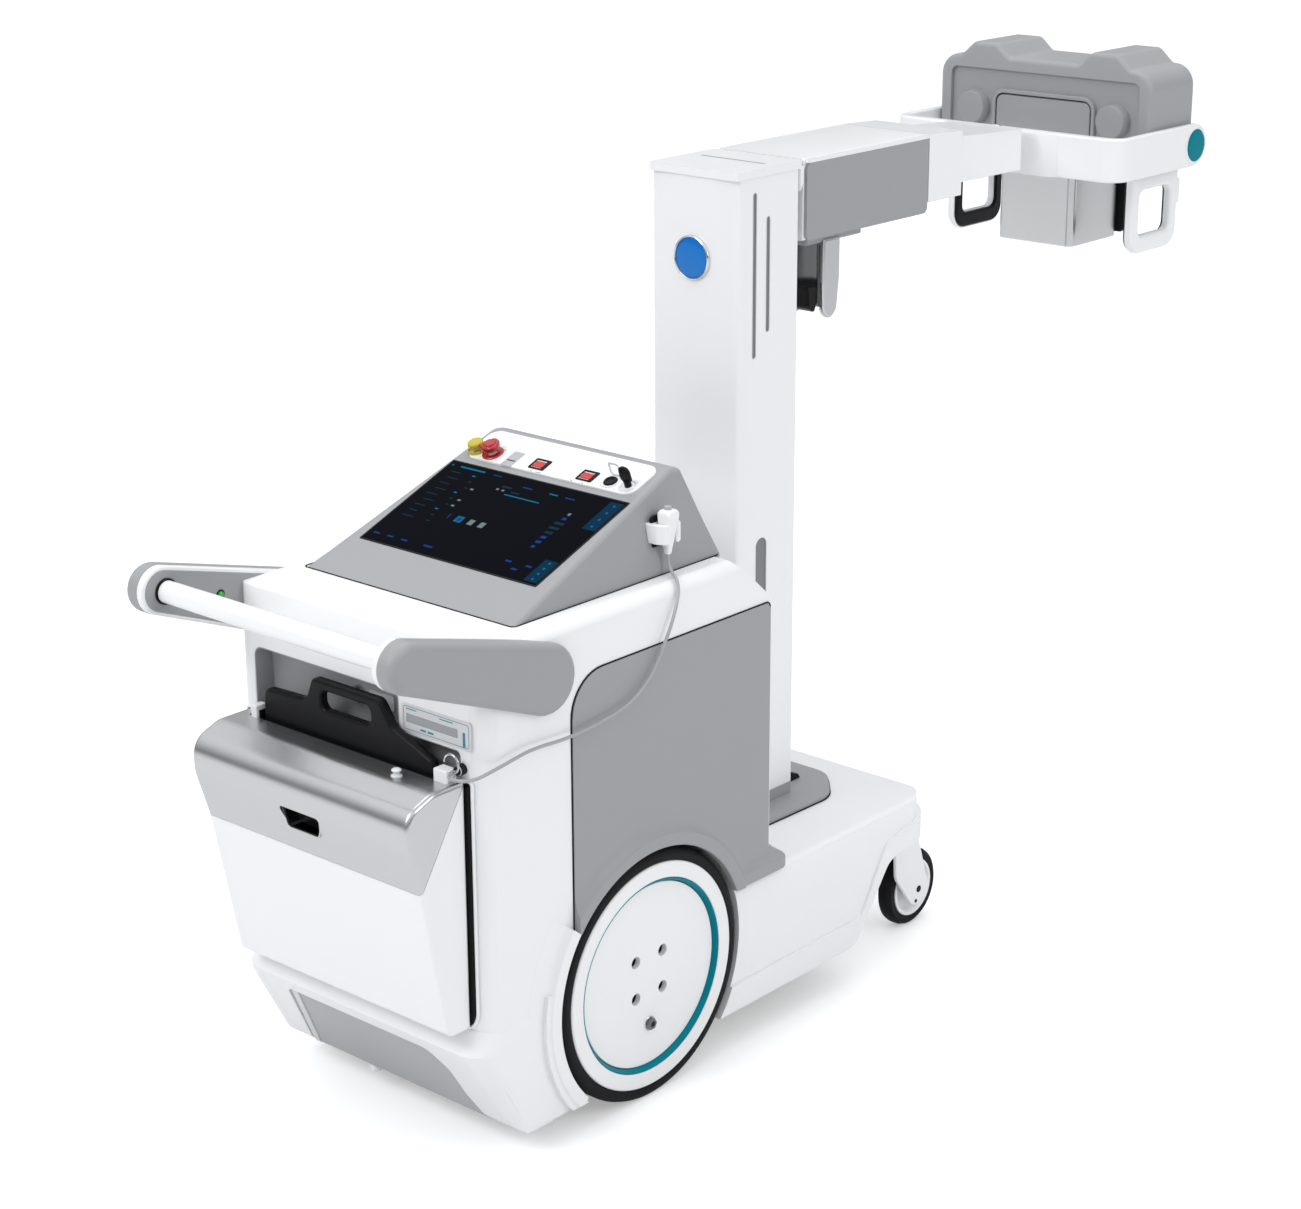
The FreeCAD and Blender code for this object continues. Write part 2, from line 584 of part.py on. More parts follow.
def handle_arms():
    arm = stadium(ARM_REAR, ARM_FRONT, 0, -ARM_Y[1], -ARM_Y[0])
    arm = arm.cut(stadium(ARM_REAR, ARM_FRONT, COVER_INSET, -ARM_Y[1], -ARM_Y[1] + 3))
    return both(arm.cut(case_solid()))


def handle_bar():
    bar = rod("y", BAR_X, BAR_Z, -ARM_Y[0], ARM_Y[0], BAR_R)
    return bar.cut(rod("y", BAR_X, BAR_Z, -ARM_Y[0], ARM_Y[0], BAR_R - 4))


def deck_plate():
    points = [
        (402, -152, 30), (640, -158, 70), (718, -90, 60), (718, 90, 60), (640, 158, 70), (402, 152, 30),
    ]
    return prism("z", points, DECK_Z, PLATE_TOP).cut(rod("z", TURN_X, 0, DECK_Z, PLATE_TOP, 80))


def drive_wheel_parts(side):
    """Tyre, rim and white hub disc of one drive wheel."""
    def ring(r0, r1, y0, y1):
        outer = rod("y", 0, WHEEL_R, side * y0, side * y1, r1)
        return outer.cut(rod("y", 0, WHEEL_R, side * y0, side * y1, r0))
    tyre = ring(RIM_R, WHEEL_R, WHEEL_IN, WHEEL_OUT - 2)
    rim = ring(168, RIM_R, WHEEL_IN, WHEEL_OUT).fuse(ring(AXLE_R + RUN, 170, WHEEL_IN + 18, HUB_IN))
    face = FreeCAD.Vector(0, side * WHEEL_OUT, WHEEL_R)
    cone = Part.makeCone(168, DISC_R, 20, face, FreeCAD.Vector(0, -side, 0))
    rim = rim.fuse(ring(150, 169, HUB_IN - 8, WHEEL_OUT).cut(cone))
    disc = ring(0.1, DISC_R, HUB_IN, HUB_IN + 11)
    disc = disc.fuse(rod("y", 0, WHEEL_R, side * HUB_IN, side * (HUB_IN + 11), 5))
    rim = rim.cut(rod("y", 0, WHEEL_R, side * HUB_IN, side * (HUB_IN + 22), DISC_R))
    half = LUG_SQUARE / 2
    for x in (-half, half):
        for z in (-half, half):
            hole = rod("y", x, WHEEL_R + z, side * (WHEEL_IN + 18), side * (HUB_IN + 17), LUG_R)
            disc = disc.cut(hole)
            rim = rim.cut(hole)
    valve = rod("y", 0, WHEEL_R - 88, side * (HUB_IN + 11), side * (HUB_IN + 15), 9)
    return tyre, rim, disc.fuse(valve)


def drive_motors():
    motor = rod("y", 0, WHEEL_R, -ARCH_IN + 14, -70, 55)
    gear = rod("y", 0, WHEEL_R, -SIDE_PLATE, 8 - SIDE_PLATE, 39)
    axle = rod("y", 0, WHEEL_R, 2 - HUB_IN, -SIDE_PLATE, AXLE_R)
    collar = rod("y", 0, WHEEL_R, -WHEEL_IN - 17, -SIDE_PLATE, 30)
    return both(motor.fuse(gear).fuse(collar).fuse(axle))


def caster_parts(side):
    y = side * CASTER_Y
    wheel_x = CASTER_X + CASTER_TRAIL
    stem = rod("z", CASTER_X, y, CASTER_TOP - 10, 254, CASTER_STEM_R)
    crown = rod("z", CASTER_X, y, CASTER_TOP - 12, CASTER_TOP, 32)
    profile = [
        (740, CASTER_TOP, 18), (745, 132, 30), (wheel_x - 20, 52, 20), (wheel_x + 20, 52, 20),
        (wheel_x + 22, 110, 20), (806, CASTER_TOP, 18),
    ]
    cheek = prism("y", profile, y - 29, y + 29)
    room = [(700, 50), (900, 50), (900, 156), (800, 168, 30), (740, 160, 20), (700, 100)]
    slot = prism("y", room, y - 22, y + 22)
    fork = cheek.cut(slot).fuse(crown).fuse(stem)
    fork = fork.cut(rod("y", wheel_x, CASTER_R, y - 40, y + 40, CASTER_PIN_R))
    pin = rod("y", wheel_x, CASTER_R, y - 31, y + 31, CASTER_PIN_R)
    fork = fork.fuse(pin)
    ear = box(PEDAL_PIN[0] - 7, 752, y - 9, y + 9, PEDAL_PIN[1] - 7, PEDAL_PIN[1] + 16)
    fork = fork.fuse(ear).cut(rod("y", PEDAL_PIN[0], PEDAL_PIN[1], y - 20, y + 20, PEDAL_PIN_R + RUN))
    wheel = rod("y", wheel_x, CASTER_R, y - 16, y + 16, CASTER_R)
    wheel = wheel.cut(rod("y", wheel_x, CASTER_R, y - 16, y - 12, 50))
    wheel = wheel.cut(rod("y", wheel_x, CASTER_R, y + 12, y + 16, 50))
    wheel = wheel.fuse(rod("y", wheel_x, CASTER_R, y - 20, y + 20, 16))
    wheel = wheel.cut(rod("y", wheel_x, CASTER_R, y - 30, y + 30, CASTER_PIN_R + RUN))
    tread = [(722, 157, 6), (678, 140, 5), (680, 128, 5), (722, 142, 6), (733, 143), (733, 157, 4)]
    pedal = prism("y", tread, y - 16, y + 16)
    pedal = pedal.cut(box(PEDAL_PIN[0] - 10, 760, y - 9 - BODY_GAP, y + 9 + BODY_GAP, 120, 180))
    pedal = pedal.fuse(rod("y", PEDAL_PIN[0], PEDAL_PIN[1], y - 16, y + 16, PEDAL_PIN_R))
    return fork, wheel, pedal


def column_plan(inset):
    front, half = COLUMN_FRONT - inset, COLUMN_HALF - inset
    back = COLUMN_BACK + inset
    return [
        (front, -half, 6), (front, half, 6), (back + 7, half, 8), (back, 44, 150), (back, -44, 150),
        (back + 7, -half, 8),
    ]


def column_shell():
    shell = prism("z", column_plan(0), COLUMN_LOW, COLUMN_TOP)
    shell = shell.cut(prism("z", column_plan(COLUMN_WALL), COLUMN_LOW, COLUMN_TOP))
    shell = shell.cut(box(COLUMN_FRONT - 14, COLUMN_FRONT + 16, -SLOT_HALF, SLOT_HALF, 560, COLUMN_TOP + 1))
    for x, low, high, width in ((484, 1137, 1421, 10), (520, 1178, 1377, 10), (508, 590, 813, 30)):
        sides = rect(x - width / 2, x + width / 2, low, high, width / 2 - 0.1)
        groove = prism("y", sides, -COLUMN_HALF - 1, 3 - COLUMN_HALF)
        shell = shell.cut(both(groove))
    return shell


def column_cap():
    front, half = COLUMN_FRONT + 8, COLUMN_HALF + 2
    cap = prism("z", rect(COLUMN_BACK - 3, front, -half, half, 8), COLUMN_TOP, CAP_TOP)
    side = [
        (COLUMN_FRONT, COLUMN_TOP + 4), (front, COLUMN_TOP + 4), (front, COLUMN_TOP - 26),
        (COLUMN_FRONT, COLUMN_TOP - 38),
    ]
    ear = prism("y", side, -half, -SLOT_HALF - 4)
    cap = cap.fuse(ear).fuse(mirrored(ear))
    return cap.cut(box(538, 546, -70, 70, CAP_TOP - 1.5, CAP_TOP + 1))


def column_foot():
    foot = prism("z", column_plan(0), PLATE_TOP + BODY_GAP, COLUMN_LOW)
    return foot.fuse(rod("z", TURN_X, 0, 256, PLATE_TOP + 1, SPIGOT_R))


def arm_carriage():
    half = COLUMN_HALF - COLUMN_WALL - SLIDE
    low, high = ARM_LOW + 13, ARM_TOP - 22
    front = COLUMN_FRONT - COLUMN_WALL - 6
    block = box(COLUMN_BACK + 20, front, -half, half, low, high)
    block = block.cut(box(COLUMN_BACK + 34, COLUMN_FRONT - 30, -70, 70, low + 18, high - 18))
    return block.fuse(box(front - 7, ARM_X[0], 4 - SLOT_HALF, SLOT_HALF - 4, low, high))


def arm_housing():
    body = prism("x", rect(-ARM_HALF, ARM_HALF, ARM_LOW, ARM_TOP, 4), ARM_X[0], ARM_X[1])
    inner = box(ARM_X[0] + 6, ARM_X[1] + 5, -ARM_HALF + ARM_WALL, ARM_HALF - ARM_WALL, ARM_LOW + 6, ARM_TOP - 6)
    body = body.cut(inner)
    rail = box(ARM_X[0] + 6, ARM_X[1], -PANEL_Y, -ARM_HALF, RAIL_UNDER, ARM_TOP)
    return body.fuse(rail).fuse(mirrored(rail))


def arm_side_panels():
    panel = prism("y", rect(ARM_X[0] + 4, ARM_X[1] - 2, ARM_LOW, RAIL_UNDER, 12), -PANEL_Y, -ARM_HALF)
    return both(panel)


def docking_bracket():
    """Two curved plates and a jaw under the arm, which catch on the deck when the arm is parked."""
    x, z = ARM_X[0] + 82, ARM_LOW - 27
    block = prism("x", rect(-36, 36, z, ARM_LOW, 4), x, x + 160)
    side = [
        (x + 2, z + 2), (x + 2, z - 102, 60), (x + 22, z - 134, 20), (x + 56, z - 140, 24),
        (x + 88, z - 92, 60), (x + 88, z + 2),
    ]
    plate = prism("y", side, -42, -32)
    jaw = prism("y", [(x + 12, z - 80), (x + 62, z - 80), (x + 62, z - 114, 12), (x + 22, z - 114, 8)], -34, 34)
    jaw = jaw.cut(rod("y", x + 46, z - 120, -40, 40, 12))
    web = box(x + 6, x + 14, -34, 34, z - 84, z + 2)
    return block.fuse([plate, mirrored(plate), jaw, web])


def arm_inner_tube():
    half = ARM_HALF - ARM_WALL - SLIDE
    low, high = ARM_LOW + 6 + SLIDE, ARM_TOP - 6 - SLIDE
    start = ARM_X[0] + 22
    tube = box(start, BLOCK_X[0], -half, half, low, high)
    return tube.cut(box(start, BLOCK_X[0], -half + 5, half - 5, low + 5, high - 5))


def arm_end_block():
    side = [
        (BLOCK_X[0], ARM_LOW + 18, 4), (BLOCK_X[1], ARM_LOW + 18, 3), (BLOCK_X[1] + 24, ARM_LOW + 36, 3),
        (NECK_END, ARM_LOW + 34), (NECK_END, ARM_TOP - 30), (BLOCK_X[1] + 24, ARM_TOP - 20),
        (BLOCK_X[1], ARM_TOP - 5, 6), (BLOCK_X[0], ARM_TOP),
    ]
    neck = BLOCK_X[1] + 20
    plan = [
        (BLOCK_X[0], -PANEL_Y), (BLOCK_X[1], -PANEL_Y, 3), (neck, -80, 3), (NECK_END, -80, 10),
        (NECK_END, 80, 10), (neck, 80, 3), (BLOCK_X[1], PANEL_Y, 3), (BLOCK_X[0], PANEL_Y),
    ]
    block = prism("y", side, -PANEL_Y, PANEL_Y).common(prism("z", plan, ARM_LOW, ARM_TOP))
    block = block.cut(box(BLOCK_X[0] + 8, BLOCK_X[1] - 20, -80, 80, ARM_LOW + 31, ARM_TOP - 20))
    disc = rod("x", 0, ROLL_Z, NECK_END, FORK_BACK - BODY_GAP, 40)
    shaft = rod("x", 0, ROLL_Z, NECK_END - 10, FORK_WALL[1] - 3, ROLL_R)
    return block.fuse(disc).fuse(shaft)


def yoke_fork():
    tip = TILT_X + FORK_TIP_R + 10
    plan = [
        (tip, -FORK_HALF), (FORK_WALL[0], -FORK_HALF, 22), (FORK_WALL[0], -150), (FORK_BACK, -130),
        (FORK_BACK, 130), (FORK_WALL[0], 150), (FORK_WALL[0], FORK_HALF, 22), (tip, FORK_HALF), (tip, FORK_ARM_IN),
        (FORK_WALL[1], FORK_ARM_IN, 20), (FORK_WALL[1], -FORK_ARM_IN, 20), (tip, -FORK_ARM_IN),
    ]
    low, high = TILT_Z - FORK_TIP_R, TILT_Z + FORK_TIP_R
    end, corner = TILT_X + FORK_TIP_R, FORK_TIP_R - 0.1
    side = [(FORK_BACK, low), (end, low, corner), (end, high, corner), (FORK_BACK, high)]
    fork = prism("z", plan, low, high).common(prism("y", side, -FORK_HALF, FORK_HALF))
    fork = fork.cut(rod("x", 0, ROLL_Z, FORK_BACK - 10, FORK_WALL[1] + 10, ROLL_R + RUN))
    return fork.cut(rod("y", TILT_X, TILT_Z, -FORK_HALF - 10, FORK_HALF + 10, TILT_PIN_R))


def yoke_caps():
    cap = rod("y", TILT_X, TILT_Z, -FORK_HALF - 4, -FORK_HALF, CAP_R)
    return both(cap.fuse(rod("y", TILT_X, TILT_Z, -FORK_HALF, 17 - HEAD_HALF, TILT_PIN_R)))


def head_plan(inset):
    shoulder, top = HEAD_SHOULDER - inset, HEAD_TOP - inset
    points = [(HEAD_HALF - inset, HEAD_LOW + inset, 20), (HEAD_HALF - inset, shoulder, 38)]
    points += [(HEAD_HALF - 47, shoulder, 12), (HEAD_HALF - 77, top, 14)]
    points += [(108, top, 14), (80, shoulder + 2, 12)]
    return points + [(-y, z, r) for y, z, r in reversed(points)]


def head_housing():
    body = prism("x", head_plan(0), HEAD_X[0], HEAD_X[1])
    plan = rect(HEAD_X[0], HEAD_X[1], -HEAD_HALF, HEAD_HALF, 22)
    body = body.common(prism("z", plan, HEAD_LOW, HEAD_TOP + 5))
    body = body.cut(prism("x", head_plan(HEAD_WALL + 4), HEAD_X[0] + 10, HEAD_X[1] - HEAD_WALL))
    wide, low, high = HEAD_HALF - 25, HEAD_LOW + 12, HEAD_SHOULDER - 24
    body = body.cut(prism("x", rect(-wide, wide, low, high, 14), HEAD_X[0] - 1, HEAD_X[0] + 4))
    rim = prism("x", rect(-119, 119, low, high - 36, 24), HEAD_X[0], HEAD_X[0] + 5)
    body = body.fuse(rim.cut(prism("x", rect(-106, 106, low - 8, high - 46, 16), HEAD_X[0], HEAD_X[0] + 4)))
    knob = rod("x", HEAD_HALF - 82, TILT_Z + 52, HEAD_X[0] - 12, HEAD_X[0] + 6, 36)
    body = body.fuse(both(knob))
    pad = rod("y", TILT_X, TILT_Z, -HEAD_HALF, 21 - HEAD_HALF, 21)
    body = body.fuse(both(pad)).cut(rod("y", TILT_X, TILT_Z, -FORK_HALF, FORK_HALF, TILT_PIN_R + RUN))
    body = body.fuse(both(rod("y", TILT_X, TILT_Z, 17.5 - HEAD_HALF, 21 - HEAD_HALF, 21)))
    return body.cut(rod("z", TURN2_X, 0, HEAD_LOW - 1, HEAD_LOW + 12, NECK_R - 14))


def head_grips():
    """A hand ring under each side of the head."""
    outer = [(GRIP_X[0], GRIP_LOW, 34), (GRIP_X[1], GRIP_LOW, 34), (GRIP_X[1], HEAD_LOW), (GRIP_X[0], HEAD_LOW)]
    ring = prism("y", outer, -GRIP_Y[1], -GRIP_Y[0])
    hole = rect(GRIP_X[0] + 25, GRIP_X[1] - 25, GRIP_LOW + 34, GRIP_LOW + 122, 14)
    ring = ring.cut(prism("y", hole, -GRIP_Y[1] - 1, -GRIP_Y[0] + 1))
    return both(ring)


def xray_tube():
    """Tube insert in its shield, with the mounting flange over the collimator."""
    half = HEAD_HALF - 93
    tube = rod("y", TILT_X - 62, TILT_Z + 62, -half, half, 55)
    flange = box(TILT_X - 128, TILT_X + 4, -80, 80, HEAD_LOW + 10, TILT_Z + 22)
    spigot = rod("z", TURN2_X, 0, BOX_TOP + 6, HEAD_LOW + 12, NECK_R - 14)
    return tube.fuse(flange).fuse(spigot)


def collimator_housing():
    box_shape = prism("z", rect(BOX_X[0], BOX_X[1], -BOX_HALF, BOX_HALF, 14), BOX_LOW, BOX_TOP)
    hollow = box(BOX_X[0] + 5, BOX_X[1] - 5, -BOX_HALF + 5, BOX_HALF - 5, BOX_LOW + 4, BOX_TOP - 8)
    box_shape = box_shape.cut(hollow)
    box_shape = box_shape.cut(box(TURN2_X - 50, TURN2_X + 50, -50, 50, BOX_LOW - 1, BOX_LOW + 5))
    collar = rod("z", TURN2_X, 0, BOX_TOP, HEAD_LOW - BODY_GAP, NECK_R)
    collar = collar.cut(rod("z", TURN2_X, 0, BOX_TOP, HEAD_LOW, NECK_R - 14 + RUN))
    box_shape = box_shape.fuse(collar).cut(rod("z", TURN2_X, 0, BOX_TOP - 8, BOX_TOP, NECK_R - 14 + RUN))
    half = BOX_HALF + 13
    panel = prism("x", rect(-half, half, BOX_LOW + 8, BOX_TOP - 26, 10), BOX_X[1], PANEL_FRONT)
    box_shape = box_shape.fuse(panel)
    for y in (-KNOB_Y, KNOB_Y):
        box_shape = box_shape.cut(rod("x", y, KNOB_Z, BOX_X[1] - 10, PANEL_FRONT + 8, KNOB_STEM_R + RUN))
    return box_shape.cut(rod("x", 0, KNOB_Z, BOX_X[1] - 10, PANEL_FRONT + 8, LAMP_R + RUN))


def collimator_knob(y):
    knob = rod("x", y, KNOB_Z, PANEL_FRONT + BODY_GAP, PANEL_FRONT + 14, KNOB_R)
    return knob.fuse(rod("x", y, KNOB_Z, BOX_X[1] - 8, PANEL_FRONT + 2, KNOB_STEM_R))


def lamp_button():
    return rod("x", 0, KNOB_Z, BOX_X[1] - 4, PANEL_FRONT + 4, LAMP_R)


def bin_solid():
    """Bin body outside the casing."""
    outer = [(BIN_BACK, BIN_LOW), (-424, BIN_LOW, 4), BIN_SILL, (BIN_BACK, BIN_TOP)]
    return prism("y", outer, -BIN_HALF, BIN_HALF)


def bin_shell():
    """The body with its narrower part inside the opening, hollowed, on two hinge knuckles."""
    inner_half = BIN_INNER_HALF
    body = bin_solid().fuse(box(BIN_BACK, -346, -inner_half, inner_half, MOUTH_LOW + 8, 600))
    room = prism(
        "y", [(-350, 266), (-420, 266), (-468, 512), (-468, 800), (-350, 800)],
        -inner_half + BIN_WALL, inner_half - BIN_WALL,
    )
    knuckle = rod("y", HINGE_X, HINGE_Z, -161, -139, 6.5)
    knuckle = knuckle.fuse(box(HINGE_X - 6, HINGE_X + 6, -161, -139, HINGE_Z, BIN_LOW + 1))
    knuckle = knuckle.cut(rod("y", HINGE_X, HINGE_Z, -180, -120, HINGE_R + RUN))
    return body.cut(room).fuse(both(knuckle))


def lid_outline():
    return [(BIN_BACK, BIN_TOP), (-446, BIN_TOP, 46), (-503, 646, 40), (-499, 592, 60), BIN_SILL]


def bin_lid():
    """Silver nose over the bin's front edge, with the finger slot."""
    nose = prism("y", lid_outline(), -BIN_HALF, BIN_HALF)
    room = prism(
        "y", [
            (-350, 266), (-420, 266), (-462, 520), (-462, 652, 12), (-446, 662), (-400, 662), (-400, 800),
            (-350, 800),
        ],
        -BIN_INNER_HALF + BIN_WALL, BIN_INNER_HALF - BIN_WALL,
    )
    slot = prism("x", [(-38, 556), (30, 556), (46, 590), (-48, 590)], -520, -468)
    knob = rod("z", -428, -150, BIN_TOP - 4, BIN_TOP + 10, 9)
    return nose.cut(room).cut(slot).fuse(knob)


def detector_holder():
    x0, x1 = DETECTOR_X
    half, low, high = DETECTOR_HALF, DETECTOR_Z[0], DETECTOR_Z[1]
    points = [
        (half, low, 6), (half, high - 4, 16), (92, high, 20), (76, CARRY_TOP - 4, 14), (-76, CARRY_TOP - 4, 14),
        (-104, high, 24), (-half, high - 34, 14), (-half, low, 6),
    ]
    frame = prism("x", points, x0, x1)
    frame = frame.cut(prism("x", rect(-58, 58, 716, 746, 12), x0 - 1, x1 + 1))
    return frame.cut(box(x0 + 2, x1, -half + 12, half - 12, low + 12, low + 372))


def detector_panel():
    x0, x1 = DETECTOR_X
    half, low = DETECTOR_HALF, DETECTOR_Z[0]
    return box(x0 + 2, x1 - 1, -half + 12, half - 12, low + 12, low + 372)


def shapes():
    """Every node's solid, by name."""
    nodes = {
        "chassis_frame": chassis_frame(),
        "base_cover": base_cover(),
        "rear_casing": rear_casing(),
        "side_panels": side_panels(),
        "rear_bumper": rear_bumper(),
        "deck_plate": deck_plate(),
        "slewing_bearing": rod("z", TURN_X, 0, 262, PLATE_TOP, 80).cut(
            rod("z", TURN_X, 0, 262, PLATE_TOP, SPIGOT_R + RUN)),
        "battery_pack": box(120, 286, 10 - RAIL_OUT, RAIL_OUT - 10, RAIL_TOP, 288),
        "hv_generator": box(-150, 200, -RAIL_IN, RAIL_IN, SHELF_Z, 560),
        "drive_motors": drive_motors(),
        "console_housing": console_housing(),
        "touch_screen": touch_screen(),
        "control_strip": control_strip(),
        "handle_bar": handle_bar(),
        "handle_arms": handle_arms(),
        "handle_covers": both(stadium(ARM_REAR, ARM_FRONT, COVER_INSET, -ARM_Y[1], -ARM_Y[1] + 3)),
        "handswitch_holder": handswitch_holder(),
        "handswitch_body": handswitch_body(),
        "handswitch_cord": handswitch_cord(),
        "handswitch_button": rod("z", SWITCH_X, SWITCH_Y, 978, 991, 6),
        "estop_button": push_button(ESTOP_Y, 17),
        "yellow_button": push_button(YELLOW_Y, 15),
        "rocker_left": rocker(ROCKER_Y[0]),
        "rocker_right": rocker(ROCKER_Y[1]),
        "mode_key": mode_key(),
        "column_foot": column_foot(),
        "column_shell": column_shell(),
        "column_cap": column_cap(),
        "counterbalance": box(COLUMN_BACK + 16, COLUMN_FRONT - 16, -78, 78, COLUMN_LOW, 520),
        "arm_carriage": arm_carriage(),
        "arm_housing": arm_housing(),
        "arm_side_panels": arm_side_panels(),
        "docking_bracket": docking_bracket(),
        "arm_inner_tube": arm_inner_tube(),
        "arm_end_block": arm_end_block(),
        "yoke_fork": yoke_fork(),
        "yoke_caps": yoke_caps(),
        "head_housing": head_housing(),
        "head_grips": head_grips(),
        "xray_tube": xray_tube(),
        "collimator_housing": collimator_housing(),
        "collimator_knob_left": collimator_knob(KNOB_Y),
        "collimator_knob_right": collimator_knob(-KNOB_Y),
        "lamp_button": lamp_button(),
        "bin_shell": bin_shell(),
        "bin_lid": bin_lid(),
        "detector_holder": detector_holder(),
        "detector_panel": detector_panel(),
    }
    for name, side in (("left", 1), ("right", -1)):
        tyre, rim, disc = drive_wheel_parts(side)
        nodes["drive_tyre_" + name] = tyre
        nodes["drive_rim_" + name] = rim
        nodes["drive_disc_" + name] = disc
        fork, wheel, pedal = caster_parts(side)
        nodes["caster_fork_" + name] = fork
        nodes["caster_wheel_" + name] = wheel
        nodes["caster_pedal_" + name] = pedal
    return nodes


def main():
    os.makedirs("parts", exist_ok=True)
    for name, shape in shapes().items():
        placed = shape.copy()
        placed.translate(FreeCAD.Vector(-ORIGIN_X, 0, 0))
        placed.exportStep("parts/" + name + ".step")
        report = (name, len(placed.Solids), placed.isValid(), placed.Volume)
        print("%-22s solids %d valid %s volume %.0f" % report)


if __name__ == "__main__":
    main()
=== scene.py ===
"""Looks of the mobile x-ray machine, dressed over its fixed frame.

Lengths are millimetres, measured from the floor point under the drive axle: x forward,
y to the left and z up. The function here() turns them into the frame's metres.
"""
import math

import bmesh
import bpy
from mathutils import Matrix, Vector


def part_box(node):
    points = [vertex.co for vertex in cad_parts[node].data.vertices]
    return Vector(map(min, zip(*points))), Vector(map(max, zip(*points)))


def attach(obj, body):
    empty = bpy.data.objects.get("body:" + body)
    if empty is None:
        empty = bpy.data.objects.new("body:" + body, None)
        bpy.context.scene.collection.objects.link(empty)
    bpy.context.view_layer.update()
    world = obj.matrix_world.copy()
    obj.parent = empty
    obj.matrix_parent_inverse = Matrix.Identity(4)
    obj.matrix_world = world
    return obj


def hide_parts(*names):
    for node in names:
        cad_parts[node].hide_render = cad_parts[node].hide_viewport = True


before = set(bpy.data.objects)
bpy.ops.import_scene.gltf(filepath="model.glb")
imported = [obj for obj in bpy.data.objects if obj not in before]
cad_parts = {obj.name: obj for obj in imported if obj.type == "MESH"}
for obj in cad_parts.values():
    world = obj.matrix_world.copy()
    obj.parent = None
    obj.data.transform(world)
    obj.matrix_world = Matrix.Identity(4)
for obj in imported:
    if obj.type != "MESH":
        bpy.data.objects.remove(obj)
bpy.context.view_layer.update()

# Chassis, battery, generator and drive motors.
# A welded box-section frame in grey powder coat carries everything. The battery and the
# generator are boxed units bolted to it, and the gear motors hold the wheels on steel shafts.
MM = 0.001
tyre_low, tyre_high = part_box("drive_tyre_right")
AXLE_X = (tyre_low.x + tyre_high.x) / 2


def here(x, y, z):
    """Point of the machine in the frame's metres."""
    return Vector((AXLE_X + x * MM, y * MM, z * MM))


def scaled(colour, factor):
    """Colour made lighter or darker, with its alpha."""
    return (*[min(1.0, c * factor) for c in colour], 1.0)


def finish(name, colour, rough=0.35, shade=0.03, grain=0.08, grain_size=1.1, metal=0.0, coat=0.0, edge=1.0,
           sheen=0.5):
    """A maker's finish: faint mottling, slightly uneven gloss, fine grain and softly broken edges."""
    material = bpy.data.materials.new(name)
    material.use_nodes = True
    nodes = material.node_tree.nodes
    links = material.node_tree.links
    shader = nodes["Principled BSDF"]
    shader.inputs["Metallic"].default_value = metal
    shader.inputs["Coat Weight"].default_value = coat
    shader.inputs["Coat Roughness"].default_value = 0.08
    shader.inputs["Specular IOR Level"].default_value = sheen
    place = nodes.new("ShaderNodeTexCoord")

    def noise(scale, detail):
        pattern = nodes.new("ShaderNodeTexNoise")
        pattern.inputs["Scale"].default_value = scale
        pattern.inputs["Detail"].default_value = detail
        links.new(place.outputs["Object"], pattern.inputs["Vector"])
        return pattern.outputs["Fac"]

    tint = nodes.new("ShaderNodeMix")
    tint.data_type = "RGBA"
    tint.inputs["A"].default_value = scaled(colour, 1 - shade)
    tint.inputs["B"].default_value = scaled(colour, 1 + shade)
    links.new(noise(3.0, 2.0), tint.inputs["Factor"])
    links.new(tint.outputs["Result"], shader.inputs["Base Color"])
    gloss = nodes.new("ShaderNodeMapRange")
    gloss.inputs["From Min"].default_value = 0.3
    gloss.inputs["From Max"].default_value = 0.7
    drift = 0.02 - 0.018 * metal
    gloss.inputs["To Min"].default_value = rough - drift
    gloss.inputs["To Max"].default_value = rough + drift
    links.new(noise(9.0, 1.0), gloss.inputs["Value"])
    links.new(gloss.outputs["Result"], shader.inputs["Roughness"])
    rounding = nodes.new("ShaderNodeBevel")
    rounding.inputs["Radius"].default_value = edge * MM
    surface = rounding.outputs["Normal"]
    if grain:
        skin = nodes.new("ShaderNodeBump")
        skin.inputs["Strength"].default_value = grain
        skin.inputs["Distance"].default_value = 0.0004
        links.new(noise(1000.0 / grain_size, 2.0), skin.inputs["Height"])
        links.new(surface, skin.inputs["Normal"])
        surface = skin.outputs["Normal"]
    links.new(surface, shader.inputs["Normal"])
    return material


SMOOTH_ANGLE = 31


def smoothing_by_angle():
    """Modifier group that shades smooth except across edges sharper than a small angle."""
    group = bpy.data.node_groups.new("smooth_by_angle", "GeometryNodeTree")
    group.interface.new_socket("Geometry", in_out="INPUT", socket_type="NodeSocketGeometry")
    group.interface.new_socket("Geometry", in_out="OUTPUT", socket_type="NodeSocketGeometry")
    start = group.nodes.new("NodeGroupInput")
    end = group.nodes.new("NodeGroupOutput")
    angle = group.nodes.new("GeometryNodeInputMeshEdgeAngle")
    flat = group.nodes.new("FunctionNodeCompare")
    flat.operation = "LESS_THAN"
    flat.inputs["B"].default_value = math.radians(SMOOTH_ANGLE)
    faces = group.nodes.new("GeometryNodeSetShadeSmooth")
    edges = group.nodes.new("GeometryNodeSetShadeSmooth")
    edges.domain = "EDGE"
    group.links.new(start.outputs[0], faces.inputs[0])
    group.links.new(faces.outputs[0], edges.inputs[0])
    group.links.new(angle.outputs["Unsigned Angle"], flat.inputs["A"])
    group.links.new(flat.outputs["Result"], edges.inputs["Shade Smooth"])
    group.links.new(edges.outputs[0], end.inputs[0])
    return group


SMOOTHING = smoothing_by_angle()


